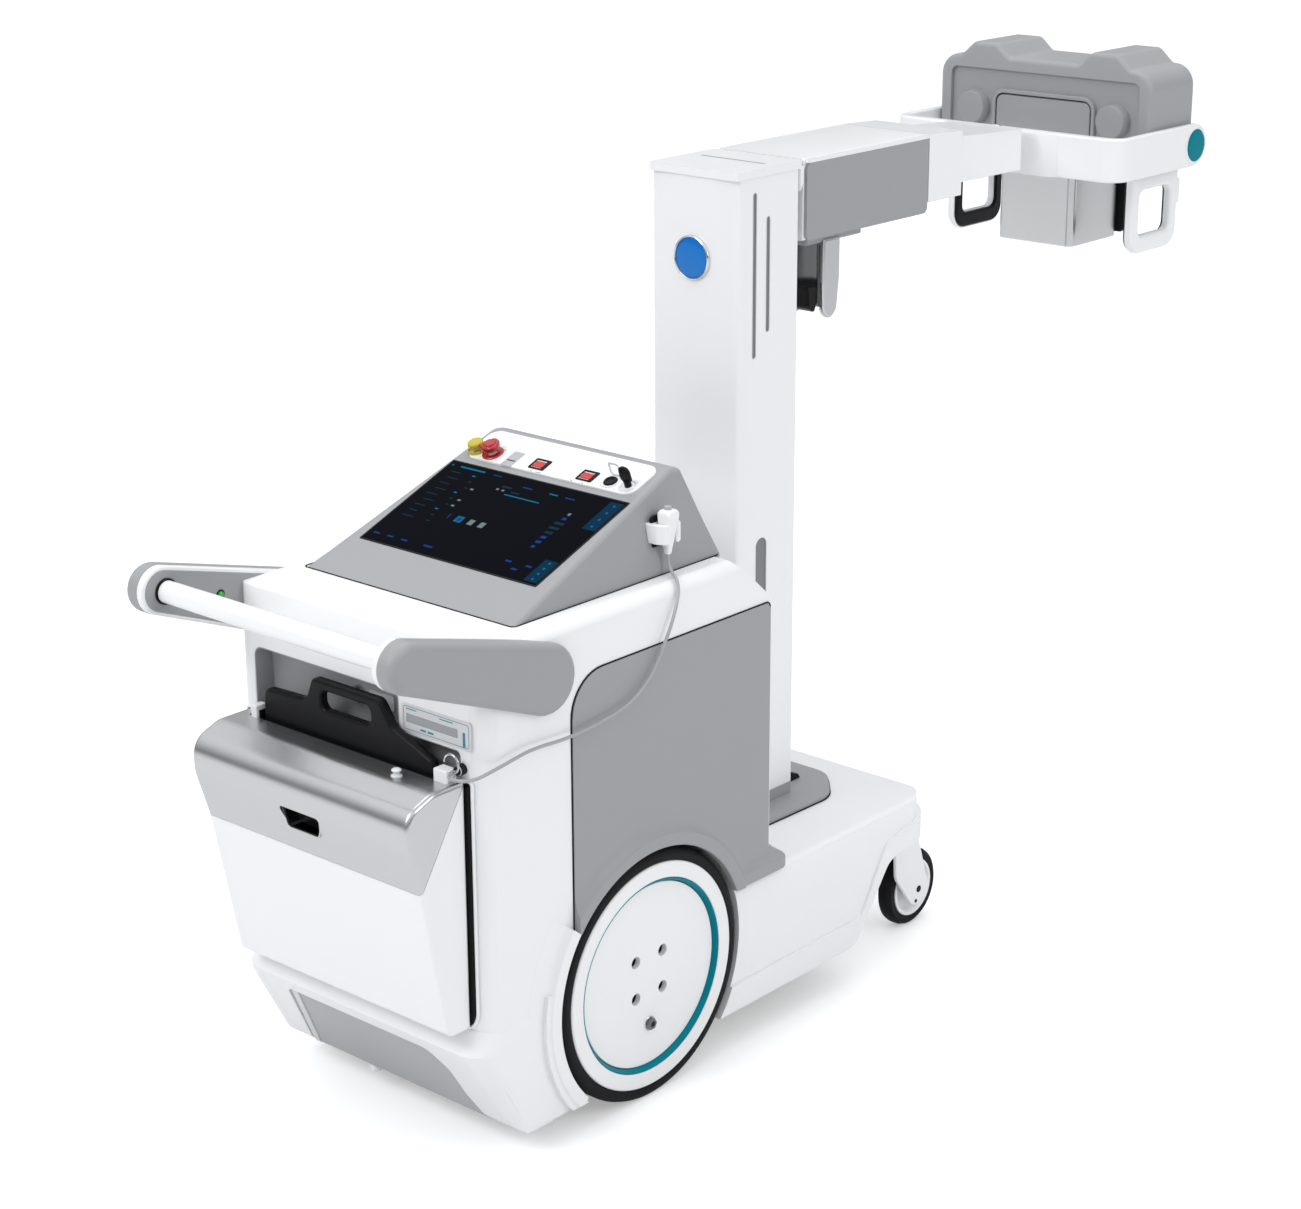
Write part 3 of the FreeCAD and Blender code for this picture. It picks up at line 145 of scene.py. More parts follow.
def dress(node, material):
    """Finish of a piece that keeps its form, shaded smooth over its curves."""
    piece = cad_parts[node]
    piece.data.materials.clear()
    piece.data.materials.append(material)
    normals = piece.data.attributes.get("custom_normal")
    if normals:
        piece.data.attributes.remove(normals)
    weld = piece.modifiers.new("weld", "WELD")
    weld.merge_threshold = 0.00002
    shading = piece.modifiers.new("shading", "NODES")
    shading.node_group = SMOOTHING
    return piece


frame_coat = finish("frame_powder_coat", (0.16, 0.165, 0.17), rough=0.5, grain=0.25)
cell_case = finish("battery_case_plastic", (0.03, 0.03, 0.033), rough=0.45, grain=0.2)
unit_steel = finish("unit_sheet_steel", (0.48, 0.49, 0.5), rough=0.34, metal=0.9)
shaft_steel = finish("turned_steel", (0.55, 0.56, 0.57), rough=0.24, metal=1.0)
dress("chassis_frame", frame_coat)
dress("battery_pack", cell_case)
dress("hv_generator", unit_steel)
dress("drive_motors", unit_steel)
dress("slewing_bearing", shaft_steel)

# Front base cover, deck plate and parking catch.
# One thick moulding in glossy white plastic hides the chassis, with a raised band that sweeps
# up to the front rim. A grey plate closes it round the column, with a black seam.
gloss_white = finish(
    "glossy_white_plastic", (0.88, 0.885, 0.895), rough=0.3, shade=0.006, grain=0.0, coat=0.25,
)
satin_grey = finish("satin_grey_plastic", (0.335, 0.342, 0.352), rough=0.45, shade=0.012, grain=0.04)
pale_grey = finish("pale_grey_plastic", (0.43, 0.44, 0.455), rough=0.4, shade=0.012, grain=0.04)
rubber = finish(
    "black_rubber", (0.008, 0.008, 0.009), rough=0.5, shade=0.1, grain=0.1, grain_size=0.8, sheen=0.12,
)
soft_black = finish(
    "black_moulded_plastic", (0.008, 0.008, 0.009), rough=0.34, shade=0.08, grain=0.05, sheen=0.14,
)
dress("base_cover", gloss_white)
dress("deck_plate", satin_grey)


def rounded(points, steps=6):
    """Closed outline with its corners turned into arcs: each point is (a, b) or (a, b, radius)."""
    loop = []
    count = len(points)
    for i in range(count):
        corner = Vector(points[i][:2])
        radius = points[i][2] if len(points[i]) > 2 else 0.0
        if radius <= 0:
            loop.append(corner)
            continue
        back = (Vector(points[i - 1][:2]) - corner).normalized()
        onward = (Vector(points[(i + 1) % count][:2]) - corner).normalized()
        half = math.acos(max(-1.0, min(1.0, back.dot(onward)))) / 2
        centre = corner + (back + onward).normalized() * (radius / math.sin(half))
        first = corner + back * (radius / math.tan(half)) - centre
        last = corner + onward * (radius / math.tan(half)) - centre
        turn = math.atan2(first.x * last.y - first.y * last.x, first.dot(last))
        for k in range(steps + 1):
            angle = turn * k / steps
            loop.append(centre + Matrix.Rotation(angle, 2) @ first)
    area = sum(a.x * b.y - a.y * b.x for a, b in zip(loop, loop[1:] + loop[:1]))
    return loop if area > 0 else loop[::-1]


def mirrored(half):
    """Outline points of one half, followed by their mirror images on the other side of a = 0."""
    return half + [(-p[0],) + p[1:] for p in reversed(half)]


def circle(a, b, radius, steps=48):
    """Round outline about a point."""
    turns = [2 * math.pi * k / steps for k in range(steps)]
    return [Vector((a + radius * math.cos(t), b + radius * math.sin(t))) for t in turns]


def shrunk(loop, by):
    """The loop moved inward by a distance, or outward where it is negative."""
    moved = []
    for i, point in enumerate(loop):
        before = (point - loop[i - 1]).normalized()
        after = (loop[(i + 1) % len(loop)] - point).normalized()
        inward = Vector((-before.y, before.x)) + Vector((-after.y, after.x))
        inward.normalize()
        reach = by / max(0.35, inward.dot(Vector((-before.y, before.x))))
        moved.append(point + inward * reach)
    return moved


def ring(bm, loop, axis, along):
    """The loop's points as vertices in the plane across an axis."""
    spots = {
        "x": lambda p: here(along, p.x, p.y),
        "y": lambda p: here(p.x, along, p.y),
        "z": lambda p: here(p.x, p.y, along),
    }
    return [bm.verts.new(spots[axis](p)) for p in loop]


def wall(bm, first, second):
    """Band of faces between two rings of as many vertices."""
    for i in range(len(first)):
        j = (i + 1) % len(first)
        bm.faces.new((first[i], first[j], second[j], second[i]))


def lid(bm, *rings):
    """Flat face inside a ring, with the other rings as holes in it."""
    if len(rings) == 1:
        bm.faces.new(rings[0])
        return
    edges = []
    for loop in rings:
        for i in range(len(loop)):
            pair = (loop[i - 1], loop[i])
            edges.append(bm.edges.get(pair) or bm.edges.new(pair))
    bmesh.ops.triangle_fill(bm, use_beauty=True, use_dissolve=False, edges=edges)


def rounded_wall(bm, loop, axis, start, end, rims, steps=4):
    """Wall along an axis whose two rims curve inward by their radii; gives its end rings."""
    towards = 1 if end > start else -1
    rings = []
    for radius, base, sign in ((rims[0], start, towards), (rims[1], end, -towards)):
        part = []
        if radius == 0:
            part.append(ring(bm, loop, axis, base))
        else:
            for k in range(steps + 1):
                angle = math.pi / 2 * k / steps
                inset = radius * (1 - math.sin(angle))
                along = base + sign * abs(radius) * (1 - math.cos(angle))
                part.append(ring(bm, shrunk(loop, inset), axis, along))
        rings += part if sign == towards else part[::-1]
    for first, second in zip(rings, rings[1:]):
        wall(bm, first, second)
    return rings[0], rings[-1]


def slab(bm, outline, axis, start, end, rim=0.0, holes=(), steps=4):
    """Solid plate of an outline with rounded rims and holes; rim is one radius or a pair."""
    rims = rim if isinstance(rim, tuple) else (rim, rim)
    faces = [rounded_wall(bm, outline, axis, start, end, rims, steps)]
    for hole in holes:
        faces.append(rounded_wall(bm, hole, axis, start, end, (-rims[0], -rims[1]), steps))
    lid(bm, *[pair[0] for pair in faces])
    lid(bm, *[pair[1] for pair in faces])
    return bm


def turned(bm, profile, axis, a, b, steps=72):
    """Solid of revolution about an axis through (a, b); the profile is (radius, along) points."""
    rings = []
    for radius, along in profile:
        if radius == 0:
            spot = ring(bm, [Vector((a, b))], axis, along)
        else:
            spot = ring(bm, circle(a, b, radius, steps), axis, along)
        rings.append(spot)
    for first, second in zip(rings, rings[1:]):
        if len(first) == 1 and len(second) == 1:
            continue
        if len(first) == 1 or len(second) == 1:
            tip, rest = (first[0], second) if len(first) == 1 else (second[0], first)
            for i in range(len(rest)):
                bm.faces.new((tip, rest[i - 1], rest[i]))
        else:
            wall(bm, first, second)
    if profile[0] == profile[-1]:
        bmesh.ops.remove_doubles(bm, verts=rings[0] + rings[-1], dist=0.000001)
    return bm


def loft(bm, rings):
    """Walls between rings in turn, with a flat end at the first and the last."""
    for first, second in zip(rings, rings[1:]):
        wall(bm, first, second)
    lid(bm, rings[0])
    lid(bm, rings[-1])
    return bm


def placed(name, data):
    """New object of the scene that shows a mesh, a curve, a lamp or a camera."""
    thing = bpy.data.objects.new(name, data)
    bpy.context.scene.collection.objects.link(thing)
    return thing


def even_normals(piece):
    """Lets broad flat faces keep their own shading up to their soft rims."""
    weighted = piece.modifiers.new("normals", "WEIGHTED_NORMAL")
    weighted.keep_sharp = True


def assemble(name, bm, material, body, stands_for=(), sharp=35.0):
    """Turns a mesh into a named piece that rides on its body."""
    bmesh.ops.recalc_face_normals(bm, faces=bm.faces)
    mesh = bpy.data.meshes.new(name)
    bm.to_mesh(mesh)
    bm.free()
    mesh.shade_smooth()
    mesh.set_sharp_from_angle(angle=math.radians(sharp))
    piece = placed(name, mesh)
    even_normals(piece)
    mesh.materials.append(material)
    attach(piece, body)
    if stands_for:
        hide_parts(*stands_for)
    return piece


def bead(name, points, radius, material, body, closed=True):
    """Thin round bead of rubber or wire along a line of points."""
    curve = bpy.data.curves.new(name, "CURVE")
    curve.dimensions = "3D"
    curve.bevel_depth = radius * MM
    curve.bevel_resolution = 3
    curve.use_fill_caps = not closed
    line = curve.splines.new("POLY")
    line.points.add(len(points) - 1)
    for spot, point in zip(line.points, points):
        spot.co = (*point, 1.0)
    line.use_cyclic_u = closed
    piece = placed(name, curve)
    curve.materials.append(material)
    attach(piece, body)
    return piece


plate_low, plate_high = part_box("deck_plate")
DECK_Z = plate_low.z / MM
PLATE_TOP = plate_high.z / MM
DECK_OUTLINE = [
    (402, -152, 30), (640, -158, 70), (718, -90, 60), (718, 90, 60), (640, 158, 70), (402, 152, 30),
]
seam_line = shrunk(rounded(DECK_OUTLINE, 10), -0.6)
bead("deck_seam", [here(p.x, p.y, DECK_Z + 0.8) for p in seam_line], 1.5, rubber, "chassis")
catch_outline = [
    (634, PLATE_TOP - 1), (668, PLATE_TOP - 1), (661, PLATE_TOP + 9, 2), (650, PLATE_TOP + 13, 2),
]
catch = slab(bmesh.new(), rounded(catch_outline), "y", -66, -54, 1.0)
assemble("parking_catch", catch, soft_black, "chassis")

# Drive wheels.
# Each is a narrow solid tyre on a white rim, round a white hub disc that sits back from the
# rim. The step between them is a teal ring. Four holes and one plugged bolt pierce the disc.
teal = finish("teal_plastic", (0.0, 0.21, 0.27), rough=0.36, shade=0.04, grain=0.0, sheen=0.08)
plug_metal = finish("dark_bolt_steel", (0.2, 0.2, 0.21), rough=0.3, metal=0.9)
AXLE_Z = (tyre_low.z + tyre_high.z) / 2 / MM
TYRE_R = (tyre_high.z - tyre_low.z) / 2 / MM
RIM_R = 196.0
RIM_BORE = 168.0
DISC_R = 160.0
HOLE_R = 10.5
HOLE_SQUARE = 66.0
BOLT_Z = AXLE_Z - 88.0
DISC_SINK = 9.0


def across(profile, side):
    """Profile of a turned piece, with its places along y on the machine's left or right."""
    return [(radius, side * along) for radius, along in profile]


def carve(piece, *tools):
    """Cuts the tools' forms out of a piece for good."""
    piece.modifiers.clear()
    for tool in tools:
        mesh = bpy.data.meshes.new("tool")
        bmesh.ops.recalc_face_normals(tool, faces=tool.faces)
        tool.to_mesh(mesh)
        tool.free()
        cutter = placed("tool", mesh)
        cut = piece.modifiers.new("cut", "BOOLEAN")
        cut.operation = "DIFFERENCE"
        cut.solver = "EXACT"
        cut.object = cutter
        depsgraph = bpy.context.evaluated_depsgraph_get()
        carved = bpy.data.meshes.new_from_object(piece.evaluated_get(depsgraph))
        piece.modifiers.clear()
        piece.data = carved
        bpy.data.objects.remove(cutter)
    piece.data.shade_smooth()
    piece.data.set_sharp_from_angle(angle=math.radians(35))
    even_normals(piece)
    return piece


for name, side in (("left", 1), ("right", -1)):
    low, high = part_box("drive_rim_" + name)
    outer = max(abs(low.y), abs(high.y)) / MM
    inner = min(abs(low.y), abs(high.y)) / MM
    face = outer - DISC_SINK
    body = "wheel_" + name

    tread = [(TYRE_R - 7, inner + 1), (TYRE_R - 2.5, inner + 4), (TYRE_R, inner + 10)]
    for groove in (0.3, 0.5, 0.7):
        y = inner + (outer - inner) * groove
        tread += [(TYRE_R, y - 2.2), (TYRE_R - 1.6, y - 1.2), (TYRE_R - 1.6, y + 1.2), (TYRE_R, y + 2.2)]
    tread += [
        (TYRE_R, outer - 12), (TYRE_R - 2.5, outer - 5.5), (TYRE_R - 7, outer - 2.5),
        (TYRE_R - 13, outer - 1.5),
    ]
    tread += [
        (RIM_R + 1.6, outer - 2.2), (RIM_R + 0.4, outer - 4), (RIM_R + 0.4, inner + 1),
        (TYRE_R - 7, inner + 1),
    ]
    tyre = turned(bmesh.new(), across(tread, side), "y", 0, AXLE_Z, 128)
    assemble("tyre_" + name, tyre, rubber, body, ["drive_tyre_" + name], sharp=50)

    rim = [
        (RIM_R, inner), (RIM_R, outer - 2), (RIM_R - 2, outer), (RIM_BORE + 3, outer),
        (RIM_BORE + 0.8, outer - 1), (RIM_BORE, outer - 3), (RIM_BORE, inner + 20),
        (RIM_BORE - 6, inner + 18), (40, inner + 18), (16, inner + 14), (16, inner + 8), (40, inner + 4),
        (RIM_BORE - 8, inner + 4), (RIM_BORE, inner), (RIM_R, inner),
    ]
    hub = turned(bmesh.new(), across(rim, side), "y", 0, AXLE_Z, 128)
    assemble("rim_" + name, hub, gloss_white, body, ["drive_rim_" + name], sharp=40)
    step = [
        (RIM_BORE - 0.2, outer - 1.6), (RIM_BORE - 2.2, outer - 1.8), (DISC_R + 1.4, face + 0.4),
        (DISC_R + 1.0, face - 6), (RIM_BORE - 0.2, face - 6), (RIM_BORE - 0.2, outer - 1.6),
    ]
    assemble(
        "teal_ring_" + name, turned(bmesh.new(), across(step, side), "y", 0, AXLE_Z, 128), teal, body,
        sharp=40,
    )
    half = HOLE_SQUARE / 2
    plate_profile = [
        (0, face - 10), (DISC_R, face - 10), (DISC_R, face - 1.6), (DISC_R - 0.5, face - 0.5),
        (DISC_R - 1.6, face), (0, face),
    ]
    plate = turned(bmesh.new(), across(plate_profile, side), "y", 0, AXLE_Z, 128)
    disc = assemble("hub_disc_" + name, plate, gloss_white, body, ["drive_disc_" + name], sharp=40)
    carve(disc, *[
        slab(bmesh.new(), circle(x, AXLE_Z + z, HOLE_R, 28), "y", side * (face - 14), side * (face + 4))
        for x in (-half, half) for z in (-half, half)
    ])
    # Black cups shut the four holes just behind the disc: painted shade for the dark inside of the wheel.
    cup_profile = [
        (0, face - 14), (HOLE_R + 2, face - 14), (HOLE_R + 2, face - 10.2), (HOLE_R + 0.2, face - 10.2),
        (HOLE_R - 1, face - 11), (0, face - 11),
    ]
    cup = bmesh.new()
    for x in (-half, half):
        for z in (-half, half):
            turned(cup, across(cup_profile, side), "y", x, AXLE_Z + z, 24)
    assemble("hole_shade_cups_" + name, cup, soft_black, body)
    washer = [(0, face - 1), (12.5, face - 1), (12.5, face + 0.8), (11.6, face + 1.5), (0, face + 1.5)]
    bolt = turned(bmesh.new(), across(washer, side), "y", 0, BOLT_Z, 36)
    assemble("bolt_washer_" + name, bolt, shaft_steel, body)
    nut = circle(0, BOLT_Z, 10.4, 6)
    socket = circle(0, BOLT_Z, 5, 20)
    head = slab(bmesh.new(), nut, "y", side * (face + 1), side * (face + 8), (0.2, 1.4), [socket], 2)
    plug = [(0, face + 1), (4.9, face + 1), (4.9, face + 3), (0, face + 3)]
    turned(head, across(plug, side), "y", 0, BOLT_Z, 20)
    assemble("hub_bolt_" + name, head, plug_metal, body, sharp=25)

# Front casters.
# Each is a rubber-tyred wheel with a dished white rim, held by a white moulded fork that swivels
# on a steel stem. A brake pedal is hinged at its rear, over a black spring pad.
CASTER_R = 75.0
CASTER_LOBE = 33.0
CASTER_STEM = 50.0
CASTER_TRAIL = 48.0
for name, side in (("left", 1), ("right", -1)):
    wheel_low, wheel_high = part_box("caster_wheel_" + name)
    hub_x = (wheel_low.x + wheel_high.x) / 2 / MM - AXLE_X / MM
    mid_y = (wheel_low.y + wheel_high.y) / 2 / MM
    crown_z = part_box("caster_fork_" + name)[1].z / MM - CASTER_STEM
    stem_x = hub_x - CASTER_TRAIL
    tyre = turned(bmesh.new(), [
        (54, mid_y - 14), (68, mid_y - 15), (73, mid_y - 11), (CASTER_R, mid_y - 5), (CASTER_R, mid_y + 5),
        (73, mid_y + 11), (68, mid_y + 15), (54, mid_y + 14), (54, mid_y - 14),
    ], "y", hub_x, CASTER_R, 72)
    assemble("caster_tyre_" + name, tyre, rubber, "caster_wheel_" + name, ["caster_wheel_" + name], sharp=40)
    dish = [
        (8, mid_y - 20), (18, mid_y - 20), (20, mid_y - 18), (20, mid_y - 9), (30, mid_y - 6),
        (44, mid_y - 8), (48, mid_y - 15),
    ]
    dish += [(51, mid_y - 16.5), (55, mid_y - 16), (56, mid_y - 14)]
    dish += [(r, 2 * mid_y - y) for r, y in reversed(dish)] + [dish[0]]
    assemble("caster_rim_" + name, turned(bmesh.new(), dish, "y", hub_x, CASTER_R, 72), gloss_white,
             "caster_wheel_" + name, sharp=40)

    fork = bmesh.new()
    lobe = [(hub_x + CASTER_LOBE * math.cos(t), CASTER_R + CASTER_LOBE * math.sin(t)) for t in
            [math.radians(d) for d in range(-150, 41, 19)]]
    cheek = [(stem_x - 30, crown_z + 4, 10), (stem_x - 24, 118, 30)] + lobe + [(stem_x + 36, crown_z + 4, 12)]
    for sign in (-1, 1):
        slab(fork, rounded(cheek), "y", mid_y + sign * 22.5, mid_y + sign * 29, (1.0, 3.0))
    bridge = [
        (stem_x - 29, crown_z + 3, 8), (stem_x - 24, 158, 6), (stem_x + 12, 160, 10),
        (stem_x + 34, crown_z + 3, 8),
    ]
    slab(fork, rounded(bridge), "y", mid_y - 23, mid_y + 23, 0)
    turned(fork, [
        (0, crown_z - 10), (30, crown_z - 10), (32, crown_z - 8), (32, crown_z - 1), (30, crown_z),
        (12, crown_z), (12, crown_z + CASTER_STEM), (0, crown_z + CASTER_STEM),
    ], "z", stem_x, mid_y, 48)
    assemble("caster_housing_" + name, fork, gloss_white, "caster_" + name, ["caster_fork_" + name], sharp=35)
    pin = bmesh.new()
    axle_end = [(0, 28), (6.5, 28), (6.5, 30), (5, 30.6), (0, 30.6)]
    stop_pin = [(0, 28), (3.5, 28), (3.5, 29.8), (0, 29.8)]
    for sign in (-1, 1):
        for profile, x, z, steps in (
            (axle_end, hub_x, CASTER_R, 24), (stop_pin, hub_x - 8, CASTER_R - 22, 16),
        ):
            turned(pin, [(radius, mid_y + sign * y) for radius, y in profile], "y", x, z, steps)
    assemble("caster_axle_ends_" + name, pin, soft_black, "caster_" + name)
    dress("caster_pedal_" + name, gloss_white)
    pad_outline = rounded([
        (stem_x - 45, 138), (stem_x - 27, 126, 4), (stem_x - 22, 140, 4), (stem_x - 30, 146),
    ])
    pad = slab(bmesh.new(), pad_outline, "y", mid_y - 8.4, mid_y + 8.4, 1.0)
    assemble("brake_pad_" + name, pad, soft_black, "caster_" + name)

# Rear casing and bumper.
# The main shell is glossy white plastic over the chassis, flared round the rear of each wheel.
# It is open at the rear, where a pale grey tray lines the opening and a black seal rings it.
dress("rear_casing", gloss_white)
plate_white = finish("light_grey_plastic", (0.68, 0.69, 0.705), rough=0.35, shade=0.01, grain=0.0)
CASE_BACK = -372.0
SIDE_Y = 280.0
OPENING = [
    (232, 258, 10), (232, 775, 18), (-100, 775, 12), (-100, 712, 6), (-232, 712, 10), (-232, 258, 10),
]
ARCH_R = 224.0
CREST = 246.0
FADE = 288.0
LIP = (ARCH_R, 224.6, 226, 230, 236, 242, 245.5, 247, 248.5, 250.5, 253, 256.5, 261, 266.5, 273, 280, 288)


def polar_skin(bm, side, angles, reach, height, foot):
    """Moulded skin on the casing's side, laid out round the wheel's centre.

    reach gives the inner and outer radius at an angle, height how far a point stands proud,
    and foot how deep its edge goes."""
    columns = []
    for angle in angles:
        inner, outer = reach(angle)
        radii = [max(r, inner + 0.05 * k) for k, r in enumerate(LIP)]
        radii += [radii[-1] + (outer - radii[-1]) * k / 5 for k in range(1, 6)]
        last = len(radii) - 1
        radii = [min(r, outer - 0.05 * (last - k)) for k, r in enumerate(radii)]
        rows = [(radii[0], foot)] + [(r, height(r, angle)) for r in radii] + [(outer, foot)]
        columns.append([
            bm.verts.new(here(r * math.cos(angle), side * (SIDE_Y + out), AXLE_Z + r * math.sin(angle)))
            for r, out in rows
        ])
    for first, second in zip(columns, columns[1:]):
        wall(bm, first, second)
    bm.faces.new(columns[0])
    bm.faces.new(columns[-1])
    return bm


def swell(radius):
    """Share of the flare's height at a radius: a flat band with a crisp ridge, then a hollow curve."""
    edge = 0.16 * max(0.0, 1 - (radius - ARCH_R) / 2) ** 2
    share = max(0.0, min(1.0, (FADE - radius) / (FADE - CREST)))
    return share ** 5 - edge


FLARE = 13.0
CASE_FLOOR = 56.0
for name, side in (("left", 1), ("right", -1)):
    turns = [math.radians(141.5 + 81.5 * k / 44) for k in range(45)]
    flare = polar_skin(
        bmesh.new(), side, turns,
        lambda angle: (ARCH_R, min(290.0, (AXLE_Z - CASE_FLOOR) / max(0.1, -math.sin(angle)))),
        lambda radius, angle: 0.05 + FLARE * swell(radius), -2.0,
    )
    assemble("wheel_flare_" + name, flare, gloss_white, "chassis", sharp=50)

APRON_FOOT = (-304.3, 51.5)
APRON_LEAN = 0.579
apron = bmesh.new()
levels = [
    (250, -375, 279.8), (243, -380, 280.4), (233, -386.5, 280.8), (222, -393, 281), (213.5, -397.5, 281),
]
levels += [
    (z, APRON_FOOT[0] - APRON_LEAN * (z - APRON_FOOT[1]), 281)
    for z in (208, 199, 180, 160, 140, 120, 100, 85)
]
APRON_BEND = 46.0
for k, half in enumerate((281, 281, 280.9, 280.7, 279, 275, 268)):
    turn = math.radians(210 + 10 * k)
    levels.append((91 + APRON_BEND * math.sin(turn), -273.9 + APRON_BEND * math.cos(turn), half))
stack = []
for z, back, half in levels:
    corner = APRON_BEND
    if z < 200:
        corner = min(APRON_BEND, max(4, 1.7 * (-290 - 0.497 * (z - 40) - back + 1.5)))
    plan = [(-236, -half), (back, -half, corner), (back, half, corner), (-236, half)]
    stack.append(ring(apron, rounded(plan, 10), "z", z))
loft(apron, stack)
apron = assemble("casing_apron", apron, gloss_white, "chassis", sharp=60)
RAKE = math.radians(-30.07)


def leaning(foot, angle):
    """Move that lays an upright or flat form on a leaning face, from the face's foot."""
    return Matrix.Translation(foot) @ Matrix.Rotation(angle, 4, "Y") @ Matrix.Translation(-here(0, 0, 0))


SLANT = leaning(here(APRON_FOOT[0], 0, APRON_FOOT[1]), RAKE)


def raked(bm):
    """Lays a form built upright, with x off the face and z up it, on the slanted rear face."""
    bmesh.ops.transform(bm, matrix=SLANT, verts=bm.verts)
    return bm


recess = rounded([
    (178, 162, 16), (216, -30), (-212, -30), (-184, 62, 60), (-180, 122, 40), (-150, 162, 30),
], 8)
carve(apron, raked(slab(bmesh.new(), recess, "x", -20, 6)))
panel_line = rounded([
    (176, 160, 15), (209, -1), (-203, -1), (-185.5, 62, 60), (-181.5, 122, 40), (-151, 160, 30),
], 8)
assemble(
    "bumper_panel", raked(slab(bmesh.new(), panel_line, "x", 3.4, 6.4, (0.8, 0))), pale_grey, "chassis",
    ["rear_bumper"],
)
step_line = rounded([(172, 158, 8), (156, 158), (194, 1), (208, 1)], 6)
assemble("bumper_step", raked(slab(bmesh.new(), step_line, "x", 1.2, 3.6, (1.5, 0))), plate_white, "chassis")

tray = bmesh.new()
TRAY_WALL = 1.6
outside = shrunk(rounded(OPENING), 0.25)
inside = shrunk(rounded(OPENING), 0.25 + TRAY_WALL)
back = ring(tray, outside, "x", CASE_BACK + 37.6)
front = ring(tray, outside, "x", CASE_BACK + 0.4)
lip = ring(tray, inside, "x", CASE_BACK + 0.4)
floor_line = ring(tray, inside, "x", CASE_BACK + 36)
wall(tray, back, front)
wall(tray, front, lip)
wall(tray, lip, floor_line)
lid(tray, floor_line)
lid(tray, back)
assemble("opening_tray", tray, pale_grey, "chassis")
seal_outline = rounded([(252, 250, 34), (252, 664, 4), (-252, 664, 4), (-252, 250, 34)], 8)
seal = slab(
    bmesh.new(), seal_outline, "x", CASE_BACK - 0.2, CASE_BACK - 4.6, (0, 1.2), [shrunk(seal_outline, 16)],
)
assemble("bin_seal", seal, rubber, "chassis")
seal_lip = slab(
    bmesh.new(), shrunk(seal_outline, -5), "x", CASE_BACK + 1, CASE_BACK - 3, (0, 2),
    [shrunk(seal_outline, -0.2)], 5,
)
assemble("seal_lip", seal_lip, gloss_white, "chassis")
foot_peg = turned(bmesh.new(), [
    (0, 34), (8, 34), (10, 36), (10, 52), (13, 54), (13, 62), (0, 62),
], "z", -284, 80, 32)
assemble("rear_foot_peg", foot_peg, gloss_white, "chassis")

display_grey = finish("display_grey", (0.3, 0.32, 0.34), rough=0.18, shade=0.08, grain=0.0, coat=0.4)
ink_teal = finish("printed_teal", (0.03, 0.22, 0.30), rough=0.4, grain=0.0)
LABEL = (-256.0, -108.0, 716.0, 762.0)


def rect(a0, a1, b0, b1, radius=0.0):
    """Corners of an upright rectangle, all with one radius."""
    return [(a0, b0, radius), (a1, b0, radius), (a1, b1, radius), (a0, b1, radius)]


a0, a1, b0, b1 = LABEL
label = slab(bmesh.new(), rounded(rect(a0, a1, b0, b1, 5)), "x", CASE_BACK + 0.2, CASE_BACK - 1.6, (0, 0.6))
assemble("label_plate", label, plate_white, "chassis")
rim_line = rounded(rect(a0 + 4, a1 - 4, b0 + 4, b1 - 4, 4))
frame_line = slab(bmesh.new(), rim_line, "x", CASE_BACK - 1.5, CASE_BACK - 1.8, 0, [shrunk(rim_line, 0.8)])
marks = [
    rect(a0 + 12, a0 + 17, 722, 744), rect(a0 + 12, a0 + 18, 720, 721.6), rect(-160, -148, 724, 727),
    rect(-176, -164, 724, 727),
]
marks += [rect(-218, -190, 753, 754.4), rect(-140, -118, 753, 754.4)]
for box in marks:
    slab(frame_line, rounded(box), "x", CASE_BACK - 1.5, CASE_BACK - 1.9, 0)
assemble("label_print", frame_line, ink_teal, "chassis")
window = slab(bmesh.new(), rounded(rect(-228, -118, 732, 746, 1.5)), "x", CASE_BACK - 1.5, CASE_BACK - 1.8, 0)
assemble("label_display", window, display_grey, "chassis")

# Side panels.
# A satin grey skin covers each side above the wheel. Its lower edge swells outward over the
# tyre and runs forward into a foot on the base cover, and a thin black gasket lines its edge.
PANEL_PROUD = 3.0
PANEL_FLARE = 11.0
PANEL_REAR, PANEL_FRONT = -180.0, 304.0
PANEL_LOW, PANEL_TOP = 299.0, 787.0
PANEL_EDGE = rounded([
    (PANEL_REAR, PANEL_LOW), (PANEL_FRONT, PANEL_LOW), (PANEL_FRONT, PANEL_TOP, 8),
    (PANEL_REAR, PANEL_TOP, 70),
], 10)


def to_edge(angle):
    """Distance from the wheel's centre to the panel's edge along an angle."""
    centre = Vector((0, AXLE_Z))
    ahead = Vector((math.cos(angle), math.sin(angle)))
    best = 0.0
    for a, b in zip(PANEL_EDGE, PANEL_EDGE[1:] + PANEL_EDGE[:1]):
        along = b - a
        cross = ahead.x * along.y - ahead.y * along.x
        if abs(cross) < 1e-9:
            continue
        offset = a - centre
        distance = (offset.x * along.y - offset.y * along.x) / cross
        share = (offset.x * ahead.y - offset.y * ahead.x) / cross
        if -1e-6 <= share <= 1 + 1e-6:
            best = max(best, distance)
    return best


def panel_reach(angle):
    """Radii at which the panel starts and ends along an angle."""
    edge = to_edge(angle)
    return min(max(ARCH_R, (PANEL_LOW - AXLE_Z) / math.sin(angle)), edge - 2), edge


